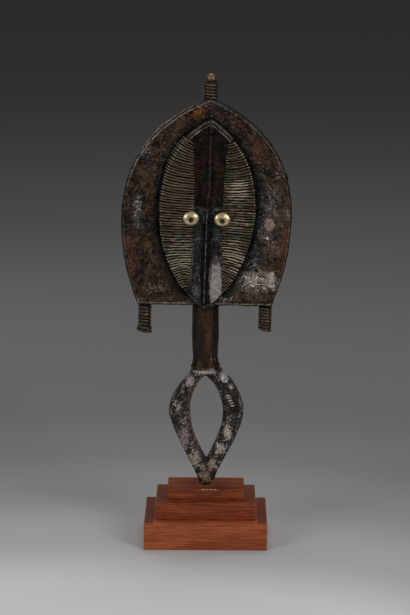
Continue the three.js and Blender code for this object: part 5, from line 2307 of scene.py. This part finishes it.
@dataclass(frozen=True)
class Camera:
    """The camera of the photograph: 410 by 615 pixels, its focal length in pixels."""

    focal: float = 2200
    tall: float = 615
    place: Place = (12.856, -2605.114, 874.052)
    pitch: float = 12.613
    roll: float = 0.238
    yaw: float = -0.326
    sensor: float = 36

    def make(self) -> None:
        """Sets the camera up and makes it the scene's."""
        pitch, roll, yaw = (math.radians(each) for each in (self.pitch, self.roll, self.yaw))
        forward = Vector((math.sin(yaw) * math.cos(pitch), math.cos(yaw) * math.cos(pitch), -math.sin(pitch)))
        level = Vector((math.cos(yaw), -math.sin(yaw), 0))
        across = level * math.cos(roll) + level.cross(forward) * math.sin(roll)
        turned = Matrix((across, across.cross(forward), -forward)).transposed().to_4x4()
        data = bpy.data.cameras.new("photo_camera")
        data.sensor_width = self.sensor
        data.lens = self.focal * self.sensor / self.tall
        data.clip_end = 100
        camera = bpy.data.objects.new("photo_camera", data)
        camera.matrix_world = Matrix.Translation(Vector(self.place) * MM) @ turned
        bpy.context.scene.collection.objects.link(camera)
        bpy.context.scene.camera = camera


@dataclass(frozen=True)
class Softbox:
    """A large soft light aimed at the figure. Its place is in metres."""

    name: str
    place: Place
    size: float
    power: float
    aim: Place = (0, 0, 0.32)

    def make(self) -> None:
        """Hangs the light."""
        data = bpy.data.lights.new(self.name, "AREA")
        data.size = self.size
        data.energy = self.power
        light = bpy.data.objects.new(self.name, data)
        light.location = self.place
        light.rotation_euler = (Vector(self.aim) - Vector(self.place)).to_track_quat("-Z", "Y").to_euler()
        bpy.context.scene.collection.objects.link(light)


@dataclass(frozen=True)
class Studio:
    """A floor with a painted pool of light, pale near the figure, soft lights and a grey surrounding, in
    metres.
    """

    reach: float = 40
    middle: Place = (-0.12, -0.6, 0)
    # The painted pool of light: the floor's grey by distance from its middle.
    rings: tuple[tuple[float, float], ...] = (
        (0.42, 0.73), (0.6, 0.46), (0.8, 0.305), (1.0, 0.23), (1.2, 0.195), (1.9, 0.205), (3.6, 0.26),
        (8.0, 0.3),
    )
    boxes: tuple[Softbox, ...] = (
        Softbox("softbox_right", (1.7, -1.9, 1.5), 1.1, 31),
        Softbox("softbox_left", (-1.9, -1.6, 1.3), 1.1, 20),
        Softbox("softbox_above", (0.1, 0.5, 2.4), 1.4, 20),
        Softbox("softbox_behind", (-0.8, 1.5, 1.0), 0.7, 1.8),
    )
    surround: tuple[float, ...] = (0.2, 0.2, 0.2, 1)
    glow: float = 0.3

    def floor(self) -> None:
        """Lays the floor, pale near the figure: a painted pool of light."""
        bpy.ops.mesh.primitive_circle_add(vertices=96, radius=self.reach, fill_type="NGON")
        floor = named("studio_floor")
        graph = Graph("painted_light_pool_floor")
        far = graph.math("LENGTH", graph.place - self.middle)
        graph.colour = (self.rings[0][1],) * 3 + (1,)
        for (near, _), (away, grey) in zip(self.rings, self.rings[1:]):
            graph.colour = graph.mix(far.ramp(near, away), graph.colour, (grey, grey, grey, 1))
        floor.data.materials.append(graph.done(0.85))

    def make(self) -> None:
        """Sets up floor, surroundings and lights."""
        self.floor()
        world = bpy.data.worlds.new("studio")
        world.use_nodes = True
        background = world.node_tree.nodes["Background"]
        background.inputs["Color"].default_value = self.surround
        background.inputs["Strength"].default_value = self.glow
        bpy.context.scene.world = world
        for box in self.boxes:
            box.make()
        bpy.context.scene.view_settings.view_transform = "Standard"


def main() -> None:
    """Builds the studio and every piece, in order."""
    logging.basicConfig(level=logging.INFO, format="%(name)s %(message)s")
    for each in (Camera(), Studio(), Plinth(), CarvedFigure(), Surround(), FaceSheets(), Edging()):
        each.make()
    for side in Side:
        CheekWires(side).make()
        Eye(side).make()
    NeckSleeve().make()
    Fittings().make()


if __name__ == "__main__":
    main()
